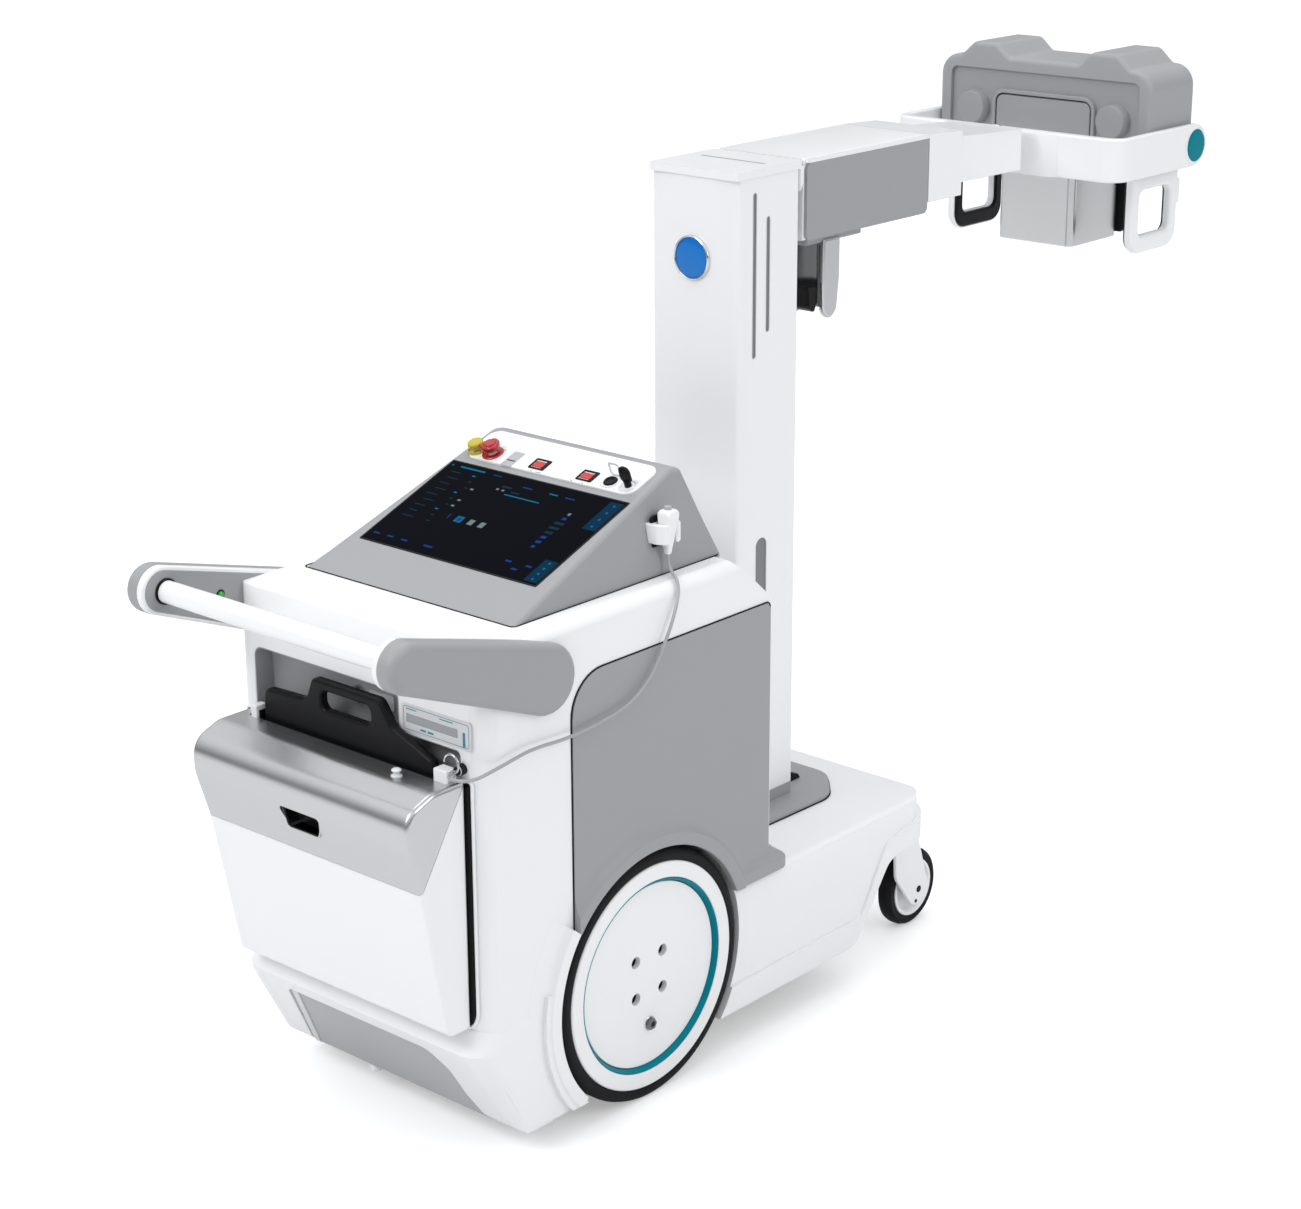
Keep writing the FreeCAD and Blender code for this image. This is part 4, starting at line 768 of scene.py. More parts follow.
panel_angles = [math.radians(15.2 + 126.2 * k / 120) for k in range(121)]
for name, side in (("left", 1), ("right", -1)):
    panel = polar_skin(
        bmesh.new(), side, panel_angles,
        panel_reach,
        lambda radius, angle: PANEL_PROUD + PANEL_FLARE * swell(radius), -1.0,
    )
    assemble(
        "side_panel_" + name, panel, satin_grey, "chassis", ["side_panels"] if side > 0 else (), sharp=50,
    )
    foot = bmesh.new()
    rows = []
    for rise, out, ahead in (
        (0, 10, 350), (1, 11.4, 352), (3, 12, 353), (18, 12, 353), (21, 11.4, 352), (23, 10, 350.5),
        (26, 7, 346), (31, 4.4, 339), (38, 2.4, 330), (48, 0.9, 320), (60, -0.5, 310), (72, -1, 302),
    ):
        half = SIDE_Y + PANEL_PROUD - 3 + out
        rear = math.sqrt(CREST ** 2 - (PANEL_LOW + rise - AXLE_Z) ** 2)
        plan = [(rear, 236), (ahead, 236), (ahead, half, 20), (rear, half)]
        rows.append(
            ring(foot, rounded([(p[0], side * p[1]) + p[2:] for p in plan], 8), "z", PANEL_LOW + rise)
        )
    loft(foot, rows)
    assemble("panel_foot_" + name, foot, satin_grey, "chassis", sharp=60)
    around = rounded([
        (PANEL_FRONT, PANEL_LOW), (PANEL_FRONT, PANEL_TOP, 8), (PANEL_REAR, PANEL_TOP, 70), (PANEL_REAR, 360),
    ], 10)
    edge_line = [here(p.x, side * (SIDE_Y + 0.6), p.y) for p in shrunk(around, -0.9)]
    bead("panel_gasket_" + name, edge_line, 1.3, rubber, "chassis", closed=False)

# Detector bin.
# A white tilting bin with slanted sides hangs on the casing. Its front edge carries a curved
# silver nose with a finger slot, a clear lock knob and two white clips for the detector.
silver = finish(
    "silver_metallic_paint", (0.58, 0.585, 0.595), rough=0.27, shade=0.003, grain=0.0, metal=0.95, coat=0.0,
)
clear = finish("clear_knob_plastic", (0.75, 0.77, 0.79), rough=0.1, grain=0.0, coat=0.5)
BIN_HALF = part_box("bin_lid")[1].y / MM
BIN_TOP = 668.0
BIN_BACK = -377.0
bin_side = rounded([
    (BIN_BACK, 255), (-424, 255, 14), (-474, 512), (-499, 592, 60), (-503, 646, 40), (-446, BIN_TOP, 46),
    (BIN_BACK, BIN_TOP),
], 12)
LINE_A, LINE_B = Vector((-648.2, 231.8)), Vector((-271.4, 837.8))
UPWARD = Vector((-0.849, 0.528))


def bin_half(name, material, node, cut):
    """The bin's moulding on one side of the joint line; cut is 1 where the upper side goes."""
    half = assemble(
        name, slab(bmesh.new(), bin_side, "y", -BIN_HALF, BIN_HALF, 8, steps=6), material, "bin", [node],
    )
    near, far = UPWARD * (0.35 * cut), UPWARD * (330 * cut)
    beyond = [LINE_A + near, LINE_B + near, LINE_B + far, LINE_A + far]
    hollow = [
        (-330, 266), (-420, 266, 4), (-462, 520), (-462, 652, 12), (-446, 662), (-401, 662), (-401, 800),
        (-330, 800),
    ]
    return carve(
        half, slab(bmesh.new(), rounded([tuple(p) for p in beyond]), "y", -300, 300),
        slab(bmesh.new(), rounded(hollow), "y", -219, 219),
    )


bin_half("bin_body", gloss_white, "bin_shell", 1)
inner_wall = slab(bmesh.new(), rounded(rect(BIN_BACK - 3, BIN_BACK + 0.2, 268, 600)), "y", -221, 221)
slab(inner_wall, rounded(rect(-221, 221, 264, 598, 3)), "x", -350, -346.4, 1)
slab(inner_wall, rounded(rect(-376.5, -347, -222, 222)), "z", 264, 268)
for sign in (-1, 1):
    slab(inner_wall, rounded(rect(-377, -347, 266, 600)), "y", sign * 220, sign * 224)
    hook = rounded([(-390, 238, 5), (-378, 238, 5), (-378, 258), (-390, 258)])
    slab(inner_wall, hook, "y", sign * 161, sign * 139)
assemble("bin_inner_wall", inner_wall, gloss_white, "bin")

nose = bin_half("bin_nose", silver, "bin_lid", -1)
SLOT = [(-38, 556, 5), (30, 556, 5), (46, 590, 6), (-48, 590, 6)]
carve(nose, slab(bmesh.new(), rounded(SLOT), "x", -540, -466))
slot_rim = slab(
    bmesh.new(), shrunk(rounded(SLOT), -2.4), "x", -487, -491.5, (0, 0.8), [shrunk(rounded(SLOT), 0.2)],
)
assemble("finger_slot_rim", slot_rim, silver, "bin")
# A black back and black strips line the slot's walls: painted shade for the deep finger slot.
pocket = slab(bmesh.new(), rounded([(-40, 554), (32, 554), (48, 592), (-50, 592)]), "x", -463, -466.5, 0)
for k, corner in enumerate(SLOT):
    a, b = Vector(corner[:2]), Vector(SLOT[(k + 1) % 4][:2])
    edge = (b - a).normalized()
    out = Vector((edge.y, -edge.x)) * 1.4
    strip = [a, b, b + out, a + out]
    slab(pocket, rounded([tuple(p) for p in strip]), "x", -465, -488, 0)
assemble("finger_slot_painted_shade", pocket, soft_black, "bin")
clip = bmesh.new()
for y0, y1 in ((196, 210), (-232, -204)):
    slab(clip, rounded(rect(-404, -382, y0, y1, 2)), "z", BIN_TOP - 4, BIN_TOP + 20, (0, 2))
assemble("bin_clips", clip, gloss_white, "bin")
plates = bmesh.new()
for y0, y1 in ((195, 211), (-233, -203)):
    slab(plates, rounded(rect(-400, -386, y0, y1, 1)), "z", BIN_TOP - 3, BIN_TOP + 12, (0, 0.5))
assemble("clip_plates", plates, shaft_steel, "bin")
knob_profile = [(0, -1), (9, -1), (9, 1.5), (5.5, 3), (5, 6), (7.5, 8), (8, 10), (5, 12.5), (0, 13)]
knob = turned(bmesh.new(), [(radius, BIN_TOP + up) for radius, up in knob_profile], "z", -428, -150, 32)
assemble("bin_lock_knob", knob, clear, "bin")

# Detector in its holder.
# The flat image detector slides into a black moulded frame with a raised carrying grip, whose
# edges are well rounded. Its lower part hides inside the bin.
holder_low, holder_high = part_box("detector_holder")
hold_x0 = holder_low.x / MM - AXLE_X / MM
hold_x1 = holder_high.x / MM - AXLE_X / MM
holder_outline = [
    (192, 267, 6), (192, 718, 16), (92, 722, 20), (76, 762, 14), (-76, 762, 14), (-104, 722, 24),
    (-192, 688, 14), (-192, 267, 6),
]
holder = slab(
    bmesh.new(), rounded(holder_outline, 8), "x", hold_x1, hold_x0, 5.5,
    [rounded(rect(-56, 56, 714, 745, 12))], steps=5,
)
assemble("detector_frame", holder, soft_black, "detector", ["detector_holder"], sharp=45)
dress("detector_panel", soft_black)
lock = turned(bmesh.new(), [
    (0, -336), (13, -336), (13, -342), (11, -345), (4, -346), (0, -346),
], "x", 26, 733, 36)
assemble("recess_lock", lock, shaft_steel, "chassis")
lock_plate = slab(bmesh.new(), rounded(rect(-54, 2, 720, 746, 4)), "x", -335.6, -338, (0, 0.6))
assemble("recess_plate", lock_plate, plate_white, "chassis")

# Push handle.
# A white tube spans two deep paddle-shaped arms. Each arm is a white moulding whose broad
# faces are closed by satin grey covers with full soft edges. A green lamp sits in the left one.
ARM_REAR = (-530.0, 900.0, 40.0)
ARM_FRONT = (-240.0, 803.0, 57.0)
bar_low, bar_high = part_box("handle_bar")
BAR_X = (bar_low.x + bar_high.x) / 2 / MM - AXLE_X / MM
BAR_Z = (bar_low.z + bar_high.z) / 2 / MM
BAR_R = (bar_high.z - bar_low.z) / 2 / MM


def paddle(inset, steps=14):
    """Outline round the arm's two ends and the straight lines that touch both."""
    x1, z1, r1 = ARM_REAR[0], ARM_REAR[1], ARM_REAR[2] - inset
    x2, z2, r2 = ARM_FRONT[0], ARM_FRONT[1], ARM_FRONT[2] - inset
    along = math.atan2(z2 - z1, x2 - x1)
    lean = math.acos((r1 - r2) / math.hypot(x2 - x1, z2 - z1))
    points = []
    for x, z, r, first, last in (
        (x2, z2, r2, along + lean, along - lean), (x1, z1, r1, along - lean, along + lean - 2 * math.pi),
    ):
        for k in range(steps + 1):
            turn = first + (last - first) * k / steps
            points.append((x + r * math.cos(turn), z + r * math.sin(turn)))
    return rounded(points)


for name, side in (("left", 1), ("right", -1)):
    arm = slab(bmesh.new(), paddle(0.6), "y", side * 255.5, side * 269, (4, 0), steps=6)
    assemble("handle_arm_" + name, arm, gloss_white, "chassis", ["handle_arms"] if side > 0 else (), sharp=45)
    cover = slab(bmesh.new(), paddle(0), "y", side * 268, side * 300, (0, 15), steps=8)
    slab(cover, paddle(5), "y", side * 262, side * 254.6, (0, 4), steps=4)
    assemble(
        "handle_cover_" + name, cover, satin_grey, "chassis", ["handle_covers"] if side > 0 else (),
        sharp=45,
    )
    collar_profile = [
        (BAR_R - 1, 256), (BAR_R + 3.2, 256), (BAR_R + 3.2, 252.6), (BAR_R + 2, 251.4), (BAR_R - 1, 251.4),
    ]
    collar = turned(bmesh.new(), across(collar_profile, side), "y", BAR_X, BAR_Z, 48)
    assemble("bar_collar_" + name, collar, rubber, "chassis")
bar_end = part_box("handle_arms")[1].y / MM - 40
grip = turned(bmesh.new(), [
    (0, -bar_end), (BAR_R, -bar_end), (BAR_R, -180), (BAR_R + 0.25, -179), (BAR_R + 0.25, 179),
    (BAR_R, 180), (BAR_R, bar_end), (0, bar_end),
], "y", BAR_X, BAR_Z, 64)
assemble("push_bar", grip, gloss_white, "chassis", ["handle_bar"], sharp=45)
lamp_green = finish("green_lamp_lens", (0.0, 0.42, 0.03), rough=0.15, grain=0.0, coat=0.5)
LAMP = (-416.0, 866.0)
lens = turned(bmesh.new(), [(0, 255), (6, 255), (6, 253), (5, 251), (2.5, 249.8), (0, 249.5)], "y", *LAMP, 24)
assemble("handle_lamp", lens, lamp_green, "chassis")
bezel = turned(bmesh.new(), [(6.2, 255), (8, 255), (8, 253.4), (7, 252.8), (6.2, 253.4)], "y", *LAMP, 24)
assemble("handle_lamp_bezel", bezel, soft_black, "chassis")

# Console.
# A satin grey wedge on the casing's top carries the screen and the white control strip on its
# sloping face, with generous rounded edges and a dark joint round its foot.
SLOPE = math.radians(21.2)
FACE_X = -256.0
CASE_TOP = 878.0
FOOT_HALF = 234.0
TOP_HALF = 199.0
PEAK_X = 148.0
PEAK_Z = CASE_TOP + (PEAK_X - FACE_X) * math.tan(SLOPE)
wedge = bmesh.new()
spots = {}
for side in (-1, 1):
    for key, x, half, z in (
        ("low_rear", FACE_X - 26, FOOT_HALF + 1, CASE_TOP - 10), ("peak", PEAK_X, TOP_HALF, PEAK_Z),
        ("crest", PEAK_X + 26, TOP_HALF, PEAK_Z - 4), ("foot_front", 230, FOOT_HALF, CASE_TOP),
        ("low_front", 233, FOOT_HALF + 1, CASE_TOP - 10),
    ):
        spots[key, side] = wedge.verts.new(here(x, side * half, z))
chain = ["low_rear", "peak", "crest", "foot_front", "low_front"]
for first, second in zip(chain, chain[1:]):
    wedge.faces.new([spots[first, -1], spots[second, -1], spots[second, 1], spots[first, 1]])
wedge.faces.new([spots["low_front", -1], spots["low_rear", -1], spots["low_rear", 1], spots["low_front", 1]])
for side in (-1, 1):
    wedge.faces.new([spots[key, side] for key in chain])
hidden = {spots[key, side] for key in ("low_rear", "low_front") for side in (-1, 1)}
rims = [edge for edge in wedge.edges if not set(edge.verts) <= hidden]
bmesh.ops.bevel(wedge, geom=rims, offset=9 * MM, segments=5, profile=0.5, affect="EDGES", clamp_overlap=True)
assemble("console_shell", wedge, satin_grey, "chassis", ["console_housing"], sharp=38)


def on_slope(along, y, out=0.0):
    """Point on the sloping face: distance up the slope, sideways and off the face."""
    x = FACE_X + along * math.cos(SLOPE) - out * math.sin(SLOPE)
    z = CASE_TOP + along * math.sin(SLOPE) + out * math.cos(SLOPE)
    return here(x, y, z)


LEAN = leaning(here(FACE_X, 0, CASE_TOP), -SLOPE)


def tilt(bm):
    """Lays a form that was built flat, with x up the slope and z off it, on the sloping face."""
    bmesh.ops.transform(bm, matrix=LEAN, verts=bm.verts)
    return bm


JOINT_HALF = FOOT_HALF + 1
joint = rounded([
    (FACE_X - 1, -JOINT_HALF, 8), (232, -JOINT_HALF, 14), (232, JOINT_HALF, 14),
    (FACE_X - 1, JOINT_HALF, 8),
])
bead("console_joint", [here(p.x, p.y, CASE_TOP + 0.2) for p in joint], 1.3, rubber, "chassis")

# Screen.
# A sheet of black glass lies flush in the face, in a thin black surround. The lit picture is a
# plain layout of bars, rows, tiles and side keys.
glass = finish("black_screen_glass", (0.0012, 0.0016, 0.004), rough=0.12, shade=0.1, grain=0.0, sheen=0.015)
dress("touch_screen", glass)
SCREEN = (96.5, 328.5, -196.0, 196.0)
surround = rounded(rect(SCREEN[0] - 2, SCREEN[1] + 2, SCREEN[2] - 2, SCREEN[3] + 2, 3))
sight = rounded(rect(SCREEN[0] + 1, SCREEN[1] - 1, SCREEN[2] + 1, SCREEN[3] - 1, 2))
surround_bm = slab(bmesh.new(), surround, "z", -1, 0.9, (0, 0.4), [sight])
assemble("screen_surround", tilt(surround_bm), soft_black, "chassis")
pane = slab(bmesh.new(), rounded(rect(SCREEN[0], SCREEN[1], SCREEN[2], SCREEN[3], 2)), "z", -1, 0.5, 0)
assemble("screen_glass", tilt(pane), glass, "chassis")


def lit(name, colour, strength):
    """Glowing picture colour whose brightness varies a little from patch to patch."""
    material = finish(name, scaled(colour, 0.1)[:3], rough=0.3, grain=0.0, edge=0.0, sheen=0.02)
    nodes = material.node_tree.nodes
    shader = nodes["Principled BSDF"]
    glow = nodes.new("ShaderNodeMix")
    glow.data_type = "RGBA"
    glow.inputs["A"].default_value = scaled(colour, 0.7)
    glow.inputs["B"].default_value = scaled(colour, 1.15)
    pattern = nodes.new("ShaderNodeTexNoise")
    pattern.inputs["Scale"].default_value = 90.0
    material.node_tree.links.new(pattern.outputs["Fac"], glow.inputs["Factor"])
    material.node_tree.links.new(glow.outputs["Result"], shader.inputs["Emission Color"])
    shader.inputs["Emission Strength"].default_value = strength
    return material


cyan = lit("lit_cyan", (0.0, 0.30, 0.55), 0.5)
blue = lit("lit_blue", (0.01, 0.08, 0.42), 0.5)
dim = lit("lit_dim_teal", (0.008, 0.06, 0.10), 0.4)
pale = lit("lit_pale", (0.40, 0.5, 0.55), 0.35)
key_blue = lit("lit_key_blue", (0.0, 0.05, 0.12), 0.5)
pictures = {kind: bmesh.new() for kind in ("cyan", "blue", "dim", "pale", "keys")}


def mark(kind, u0, u1, y0, y1):
    """Lit rectangle on the screen: u up the slope, y to the left."""
    height = {"keys": 0.6, "dim": 0.65}.get(kind, 0.72)
    narrow = 0.0 if kind == "keys" else 0.16
    trim_u, trim_y = narrow * (u1 - u0), narrow * (y1 - y0)
    bar = rect(SCREEN[0] + (u0 + trim_u), SCREEN[0] + (u1 - trim_u), y0 + trim_y, y1 - trim_y)
    slab(pictures[kind], rounded(bar), "z", 0.45, height, 0)


mark("cyan", 219, 224, 100, 182)
mark("cyan", 219, 224, 185, 190)
mark("blue", 219.5, 222.5, 70, 98)
for row in range(9):
    base = 204 - row * 16
    mark("dim", base, base + 3.4, 150 - (row * 7) % 12, 182 - (row * 5) % 9)
    mark("dim" if row % 3 else "cyan", base, base + 4, 120 - (row * 5) % 14, 130 - (row * 5) % 14)
    if row in (2, 4, 5):
        mark("pale", base - 0.5, base + 5, 96, 106)
for start in (188, 156, 124):
    mark("blue", 18, 23, start - 20, start)
mark("blue", 18, 24, 46, 74)
mark("cyan", 180, 183.5, -62, 52)
for start in (60, 48):
    mark("pale", 187, 193, start - 8, start)
mark("dim", 196, 203, 28, 58)
mark("dim", 188, 193, 4, 30)
mark("blue", 207, 211, -10, 20)
mark("cyan", 207, 211, -66, -40)
mark("blue", 207, 211, -104, -74)
mark("blue", 92, 110, 84, 87)
mark("cyan", 88, 110, 50, 72)
mark("blue", 92, 106, 54, 68)
for start in (42, 18):
    mark("pale", 89, 109, start - 16, start)
    mark("keys", 92, 106, start - 13, start - 3)
for step, (kind, wide) in enumerate([
    ("blue", 5), ("blue", 8), ("blue", 8), ("dim", 12), ("dim", 15), ("dim", 14), ("blue", 6), ("pale", 4),
]):
    base = 78 + step * 13
    mark(kind, base, base + 9, -118 - wide, -118 + wide)
for u0, u1 in ((150, 226), (6, 62)):
    mark("keys", u0, u1, -192, -164)
    for k in range(4):
        spot = u0 + (u1 - u0) * (k + 0.5) / 4
        mark("cyan", spot - 3, spot + 3, -181, -175)
for u0, y0 in ((34, -96), (20, -120), (34, -140)):
    mark("blue", u0, u0 + 6, y0 - 18, y0)
for kind, material in (("cyan", cyan), ("blue", blue), ("dim", dim), ("pale", pale), ("keys", key_blue)):
    assemble("screen_picture_" + kind, tilt(pictures[kind]), material, "chassis")

# Control strip, buttons, switches and keys.
# A white strip with round ends holds a yellow button, a red emergency stop with finger lobes,
# a card slot, two red rockers in black frames, a black lock and a black key under clear guards.
strip_outline = rounded(rect(344, 426, -186, 186, 22), 10)
strip_bm = slab(bmesh.new(), strip_outline, "z", -1, 3.4, (0, 1.4))
assemble("strip_plate", tilt(strip_bm), gloss_white, "chassis", ["control_strip"])
ROW = 365.0
STOP_Y = 136.0
YELLOW_Y = 172.0
LOCK_Y = -128.0
KEY_Y = -166.0
stop_red = finish("stop_red_plastic", (0.42, 0.006, 0.010), rough=0.24, coat=0.4, grain=0.03)
signal_yellow = finish("signal_yellow_plastic", (0.55, 0.43, 0.015), rough=0.28, coat=0.3, grain=0.05)


def lobed(a, b, radius, depth, lobes, steps=72):
    """Round outline with finger lobes."""
    loop = []
    for k in range(steps):
        turn = 2 * math.pi * k / steps
        reach = radius + depth * math.cos(lobes * turn)
        loop.append(Vector((a + reach * math.cos(turn), b + reach * math.sin(turn))))
    return loop


stop = bmesh.new()
turned(stop, [(0, 9.4), (8, 9.4), (8, 12), (13, 13), (13, 15), (0, 15)], "z", ROW, STOP_Y, 48)
slab(stop, lobed(ROW, STOP_Y, 16.6, 0.9, 3), "z", 14, 24, (2.5, 3.5), steps=5)
slab(stop, circle(ROW, STOP_Y, 11), "z", 23.5, 26.5, (0, 2.2), steps=4)
assemble("stop_head", tilt(stop), stop_red, "estop", ["estop_button"])
stop_ring = turned(bmesh.new(), [(9.5, 3), (19, 3), (19, 4.8), (17.5, 6), (9.5, 6)], "z", ROW, STOP_Y, 48)
assemble("stop_collar", tilt(stop_ring), stop_red, "chassis")
yellow = bmesh.new()
turned(yellow, [(0, 9.4), (8, 9.4), (8, 11), (0, 11)], "z", ROW, YELLOW_Y, 40)
slab(yellow, lobed(ROW, YELLOW_Y, 13.6, 0.5, 12), "z", 10, 21, (1.5, 3.5), steps=4)
assemble("yellow_head", tilt(yellow), signal_yellow, "yellow", ["yellow_button"])
yellow_ring = turned(bmesh.new(), [
    (14.8, 3), (17.0, 3), (17.0, 6.5), (16.0, 8), (14.8, 8),
], "z", ROW, YELLOW_Y, 40)
assemble("yellow_collar", tilt(yellow_ring), signal_yellow, "chassis")
lit_red = finish("rocker_red_plastic", (0.55, 0.01, 0.01), rough=0.25, coat=0.3, grain=0.0)
for node in ("rocker_left", "rocker_right"):
    dress(node, lit_red)
bezel_bm = bmesh.new()
for y in (30, -76):
    outline = rounded(rect(ROW - 13.5, ROW + 13.5, y - 19, y + 14.5, 1.5))
    mouth = rounded(rect(ROW - 10.2, ROW + 10.2, y - 12, y + 12, 0.8))
    slab(bezel_bm, outline, "z", 3, 5.4, (0, 0.8), [mouth])
assemble("rocker_frames", tilt(bezel_bm), soft_black, "chassis")
slot_plate = slab(bmesh.new(), rounded(rect(ROW - 22, ROW + 18, 76, 100, 2)), "z", 3, 3.9, (0, 0.3))
assemble("card_slot_plate", tilt(slot_plate), pale_grey, "chassis")
slit = slab(bmesh.new(), rounded(rect(ROW - 8, ROW - 5.6, 79, 97, 1)), "z", 3.8, 4.1, 0)
assemble("card_slot", tilt(slit), soft_black, "chassis")
prints = bmesh.new()
for u, y0, y1 in (
    (ROW - 20, 10, 22), (ROW - 20, 30, 34), (ROW - 20, -84, -80), (ROW - 20, -60, -56),
    (ROW + 14, 118, 126), (ROW - 16, -148, -146),
):
    slab(prints, rounded(rect(u, u + 1.6, y0, y1)), "z", 3.3, 3.55, 0)
assemble("strip_prints", tilt(prints), display_grey, "chassis")
lock_bm = turned(bmesh.new(), [
    (0, 3), (12, 3), (12, 5.5), (10.5, 7), (7.5, 7), (7, 5.5), (0, 5.5),
], "z", ROW, LOCK_Y, 40)
assemble("lock_ring", tilt(lock_bm), soft_black, "chassis")
dress("mode_key", soft_black)
guard = bmesh.new()
for y in (LOCK_Y, KEY_Y):
    outline = rounded(rect(ROW - 17, ROW + 17, y - 15, y + 15, 12))
    slab(guard, outline, "z", 3.2, 4.6, (0, 0.5), [circle(ROW, y, 12.4)])
assemble("key_surrounds", tilt(guard), clear, "chassis")
flap_hole = rounded(rect(-136, -120, 8, 26, 4))
flap = slab(bmesh.new(), rounded(rect(-140, -116, 4, 30, 6)), "x", ROW + 15, ROW + 16.6, 0.6, [flap_hole])
assemble("lock_flap", tilt(flap), clear, "chassis")

# Hand switch.
# The exposure switch is a white tapered body with a faceted head, pushed into a white clip on
# the console's side. Its grey lead hangs to the casing and ends in a ring by the opening.
SWITCH = (95.0, -239.0)


def tapered(bm, sections, x, y):
    """Upright moulding through rounded sections: (z, half length, half depth, corner, shift)."""
    rings = []
    for z, half_x, half_y, corner, shift in sections:
        middle = y + shift
        outline = rounded(rect(x - half_x, x + half_x, middle - half_y, middle + half_y, corner), 5)
        rings.append(ring(bm, outline, "z", z))
    return loft(bm, rings)


body_bm = tapered(bmesh.new(), [
    (912, 4.4, 4.4, 3, 0), (914, 5.2, 5.2, 3.4, 0), (922, 6.4, 6.2, 3.8, 0), (932, 8.6, 7.6, 4, 0),
    (946, 11.5, 9.6, 4, 0), (962, 13.5, 11.5, 4, -0.5), (976, 14.4, 13, 4.5, -1), (981, 14, 12.8, 4.5, -1),
    (984.5, 11.5, 10.6, 4, -1), (986, 8.5, 8, 4, -1),
], *SWITCH)
assemble("switch_body", body_bm, gloss_white, "chassis", ["handswitch_body"], sharp=50)
dress("handswitch_button", pale_grey)
clip_bm = bmesh.new()
half_clip = [
    (-26, 33), (-26, 2, 6), (-20, -10, 6), (-10, -15, 4), (-7, -10, 2), (-15.5, -3, 5), (-15.5, 15, 5),
]
clip_outline = rounded([(SWITCH[0] + p[0], SWITCH[1] + p[1]) + p[2:] for p in mirrored(half_clip)])
slab(clip_bm, clip_outline, "z", 932, 964, 1.6)
assemble("switch_clip", clip_bm, gloss_white, "chassis", ["handswitch_holder"], sharp=40)
half_back = [(-22, 975, 8), (-20, 918, 6)]
back_outline = rounded([(SWITCH[0] + p[0],) + p[1:] for p in mirrored(half_back)])
back_bm = slab(bmesh.new(), back_outline, "y", -218, -223, 1.2)
assemble("switch_back_plate", back_bm, soft_black, "chassis")

lead_grey = finish("lead_grey_sheath", (0.38, 0.39, 0.40), rough=0.32, grain=0.05, coat=0.2)
LEAD_R = 2.8
LEAD = [
    (95, -239, 912), (95, -239, 889), (76, -281, 876), (50, -292, 832), (22, -292, 784), (-12, -292, 740),
    (-60, -292, 711), (-130, -292, 701), (-205, -292, 697), (-280, -292, 704), (-350, -291, 694),
    (-414, -290, 688), (-417, -236, 685), (-384, -236, 685),
]
lead_curve = bpy.data.curves.new("handswitch_lead", "CURVE")
lead_curve.dimensions = "3D"
lead_curve.bevel_depth = LEAD_R * MM
lead_curve.bevel_resolution = 5
lead_curve.use_fill_caps = True
line = lead_curve.splines.new("NURBS")
line.points.add(len(LEAD) - 1)
for spot, point in zip(line.points, LEAD):
    spot.co = (*here(*point), 1.0)
line.order_u = 3
line.use_endpoint_u = True
line.resolution_u = 12
lead = placed("handswitch_lead", lead_curve)
lead_curve.materials.append(lead_grey)
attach(lead, "chassis")
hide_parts("handswitch_cord")
RING_R = 15.0
loop = [here(-396, p.x, p.y) for p in circle(-236, 700, RING_R, 32)[:26]]
bead("lead_ring", loop, 1.8, shaft_steel, "chassis", closed=False)
boss = turned(bmesh.new(), [
    (0, -371), (9, -371), (9, -380), (7, -386), (3.2, -390), (3.2, -371),
], "x", -236, 685, 28)
assemble("lead_gland", boss, soft_black, "chassis")

# Column.
# The tall white shell stands on a grey foot that turns on the deck. Two long grooves and a wide
# slot are let into each side with grey inlays, and a flat white cap with front ears closes it.
dress("column_foot", satin_grey)
dress("column_shell", gloss_white)
dress("column_cap", gloss_white)
dress("counterbalance", frame_coat)
groove_grey = finish("groove_grey", (0.2, 0.205, 0.215), rough=0.4, grain=0.05)
COLUMN_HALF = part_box("column_shell")[1].y / MM
inlays = bmesh.new()
rims = bmesh.new()
for x, low, high, width in ((484, 1137, 1421, 10), (520, 1178, 1377, 10), (508, 590, 813, 30)):
    for side in (-1, 1):
        outline = rounded(rect(x - width / 2, x + width / 2, low, high, width / 2 - 0.1), 8)
        slab(inlays, shrunk(outline, 0.1), "y", side * (COLUMN_HALF - 3.4), side * (COLUMN_HALF - 1.8), 0)
        edge, groove = shrunk(outline, -1.2), shrunk(outline, 0.3)
        slab(rims, edge, "y", side * (COLUMN_HALF - 0.8), side * (COLUMN_HALF + 0.7), (0, 0.6), [groove])
assemble("column_groove_inlays", inlays, groove_grey, "column")
assemble("column_groove_rims", rims, gloss_white, "column")
cap_slot = slab(bmesh.new(), rounded(rect(538, 546, -70, 70, 3.5)), "z", 1457.8, 1459.4, 0)
assemble("cap_slot", cap_slot, groove_grey, "column")
badge_blue = finish(
    "badge_blue_enamel", (0.0, 0.17, 0.58), rough=0.22, shade=0.12, grain=0.0, coat=0.2, sheen=0.3,
)
chrome = finish("chrome", (0.72, 0.72, 0.73), rough=0.1, metal=1.0, grain=0.0)
BADGE = (0.0, 1307.0)
disc_bm = turned(bmesh.new(), [
    (0, 443), (34.5, 443), (34.5, 433), (32, 431.8), (20, 430.6), (0, 430),
], "x", *BADGE, 72)
assemble("badge_disc", disc_bm, badge_blue, "column", sharp=50)
ring_bm = turned(bmesh.new(), [
    (34, 443), (39, 443), (39, 433), (37.6, 430.5), (36, 430), (34.4, 431.5), (34, 443),
], "x", *BADGE, 72)
assemble("badge_ring", ring_bm, chrome, "column", sharp=50)

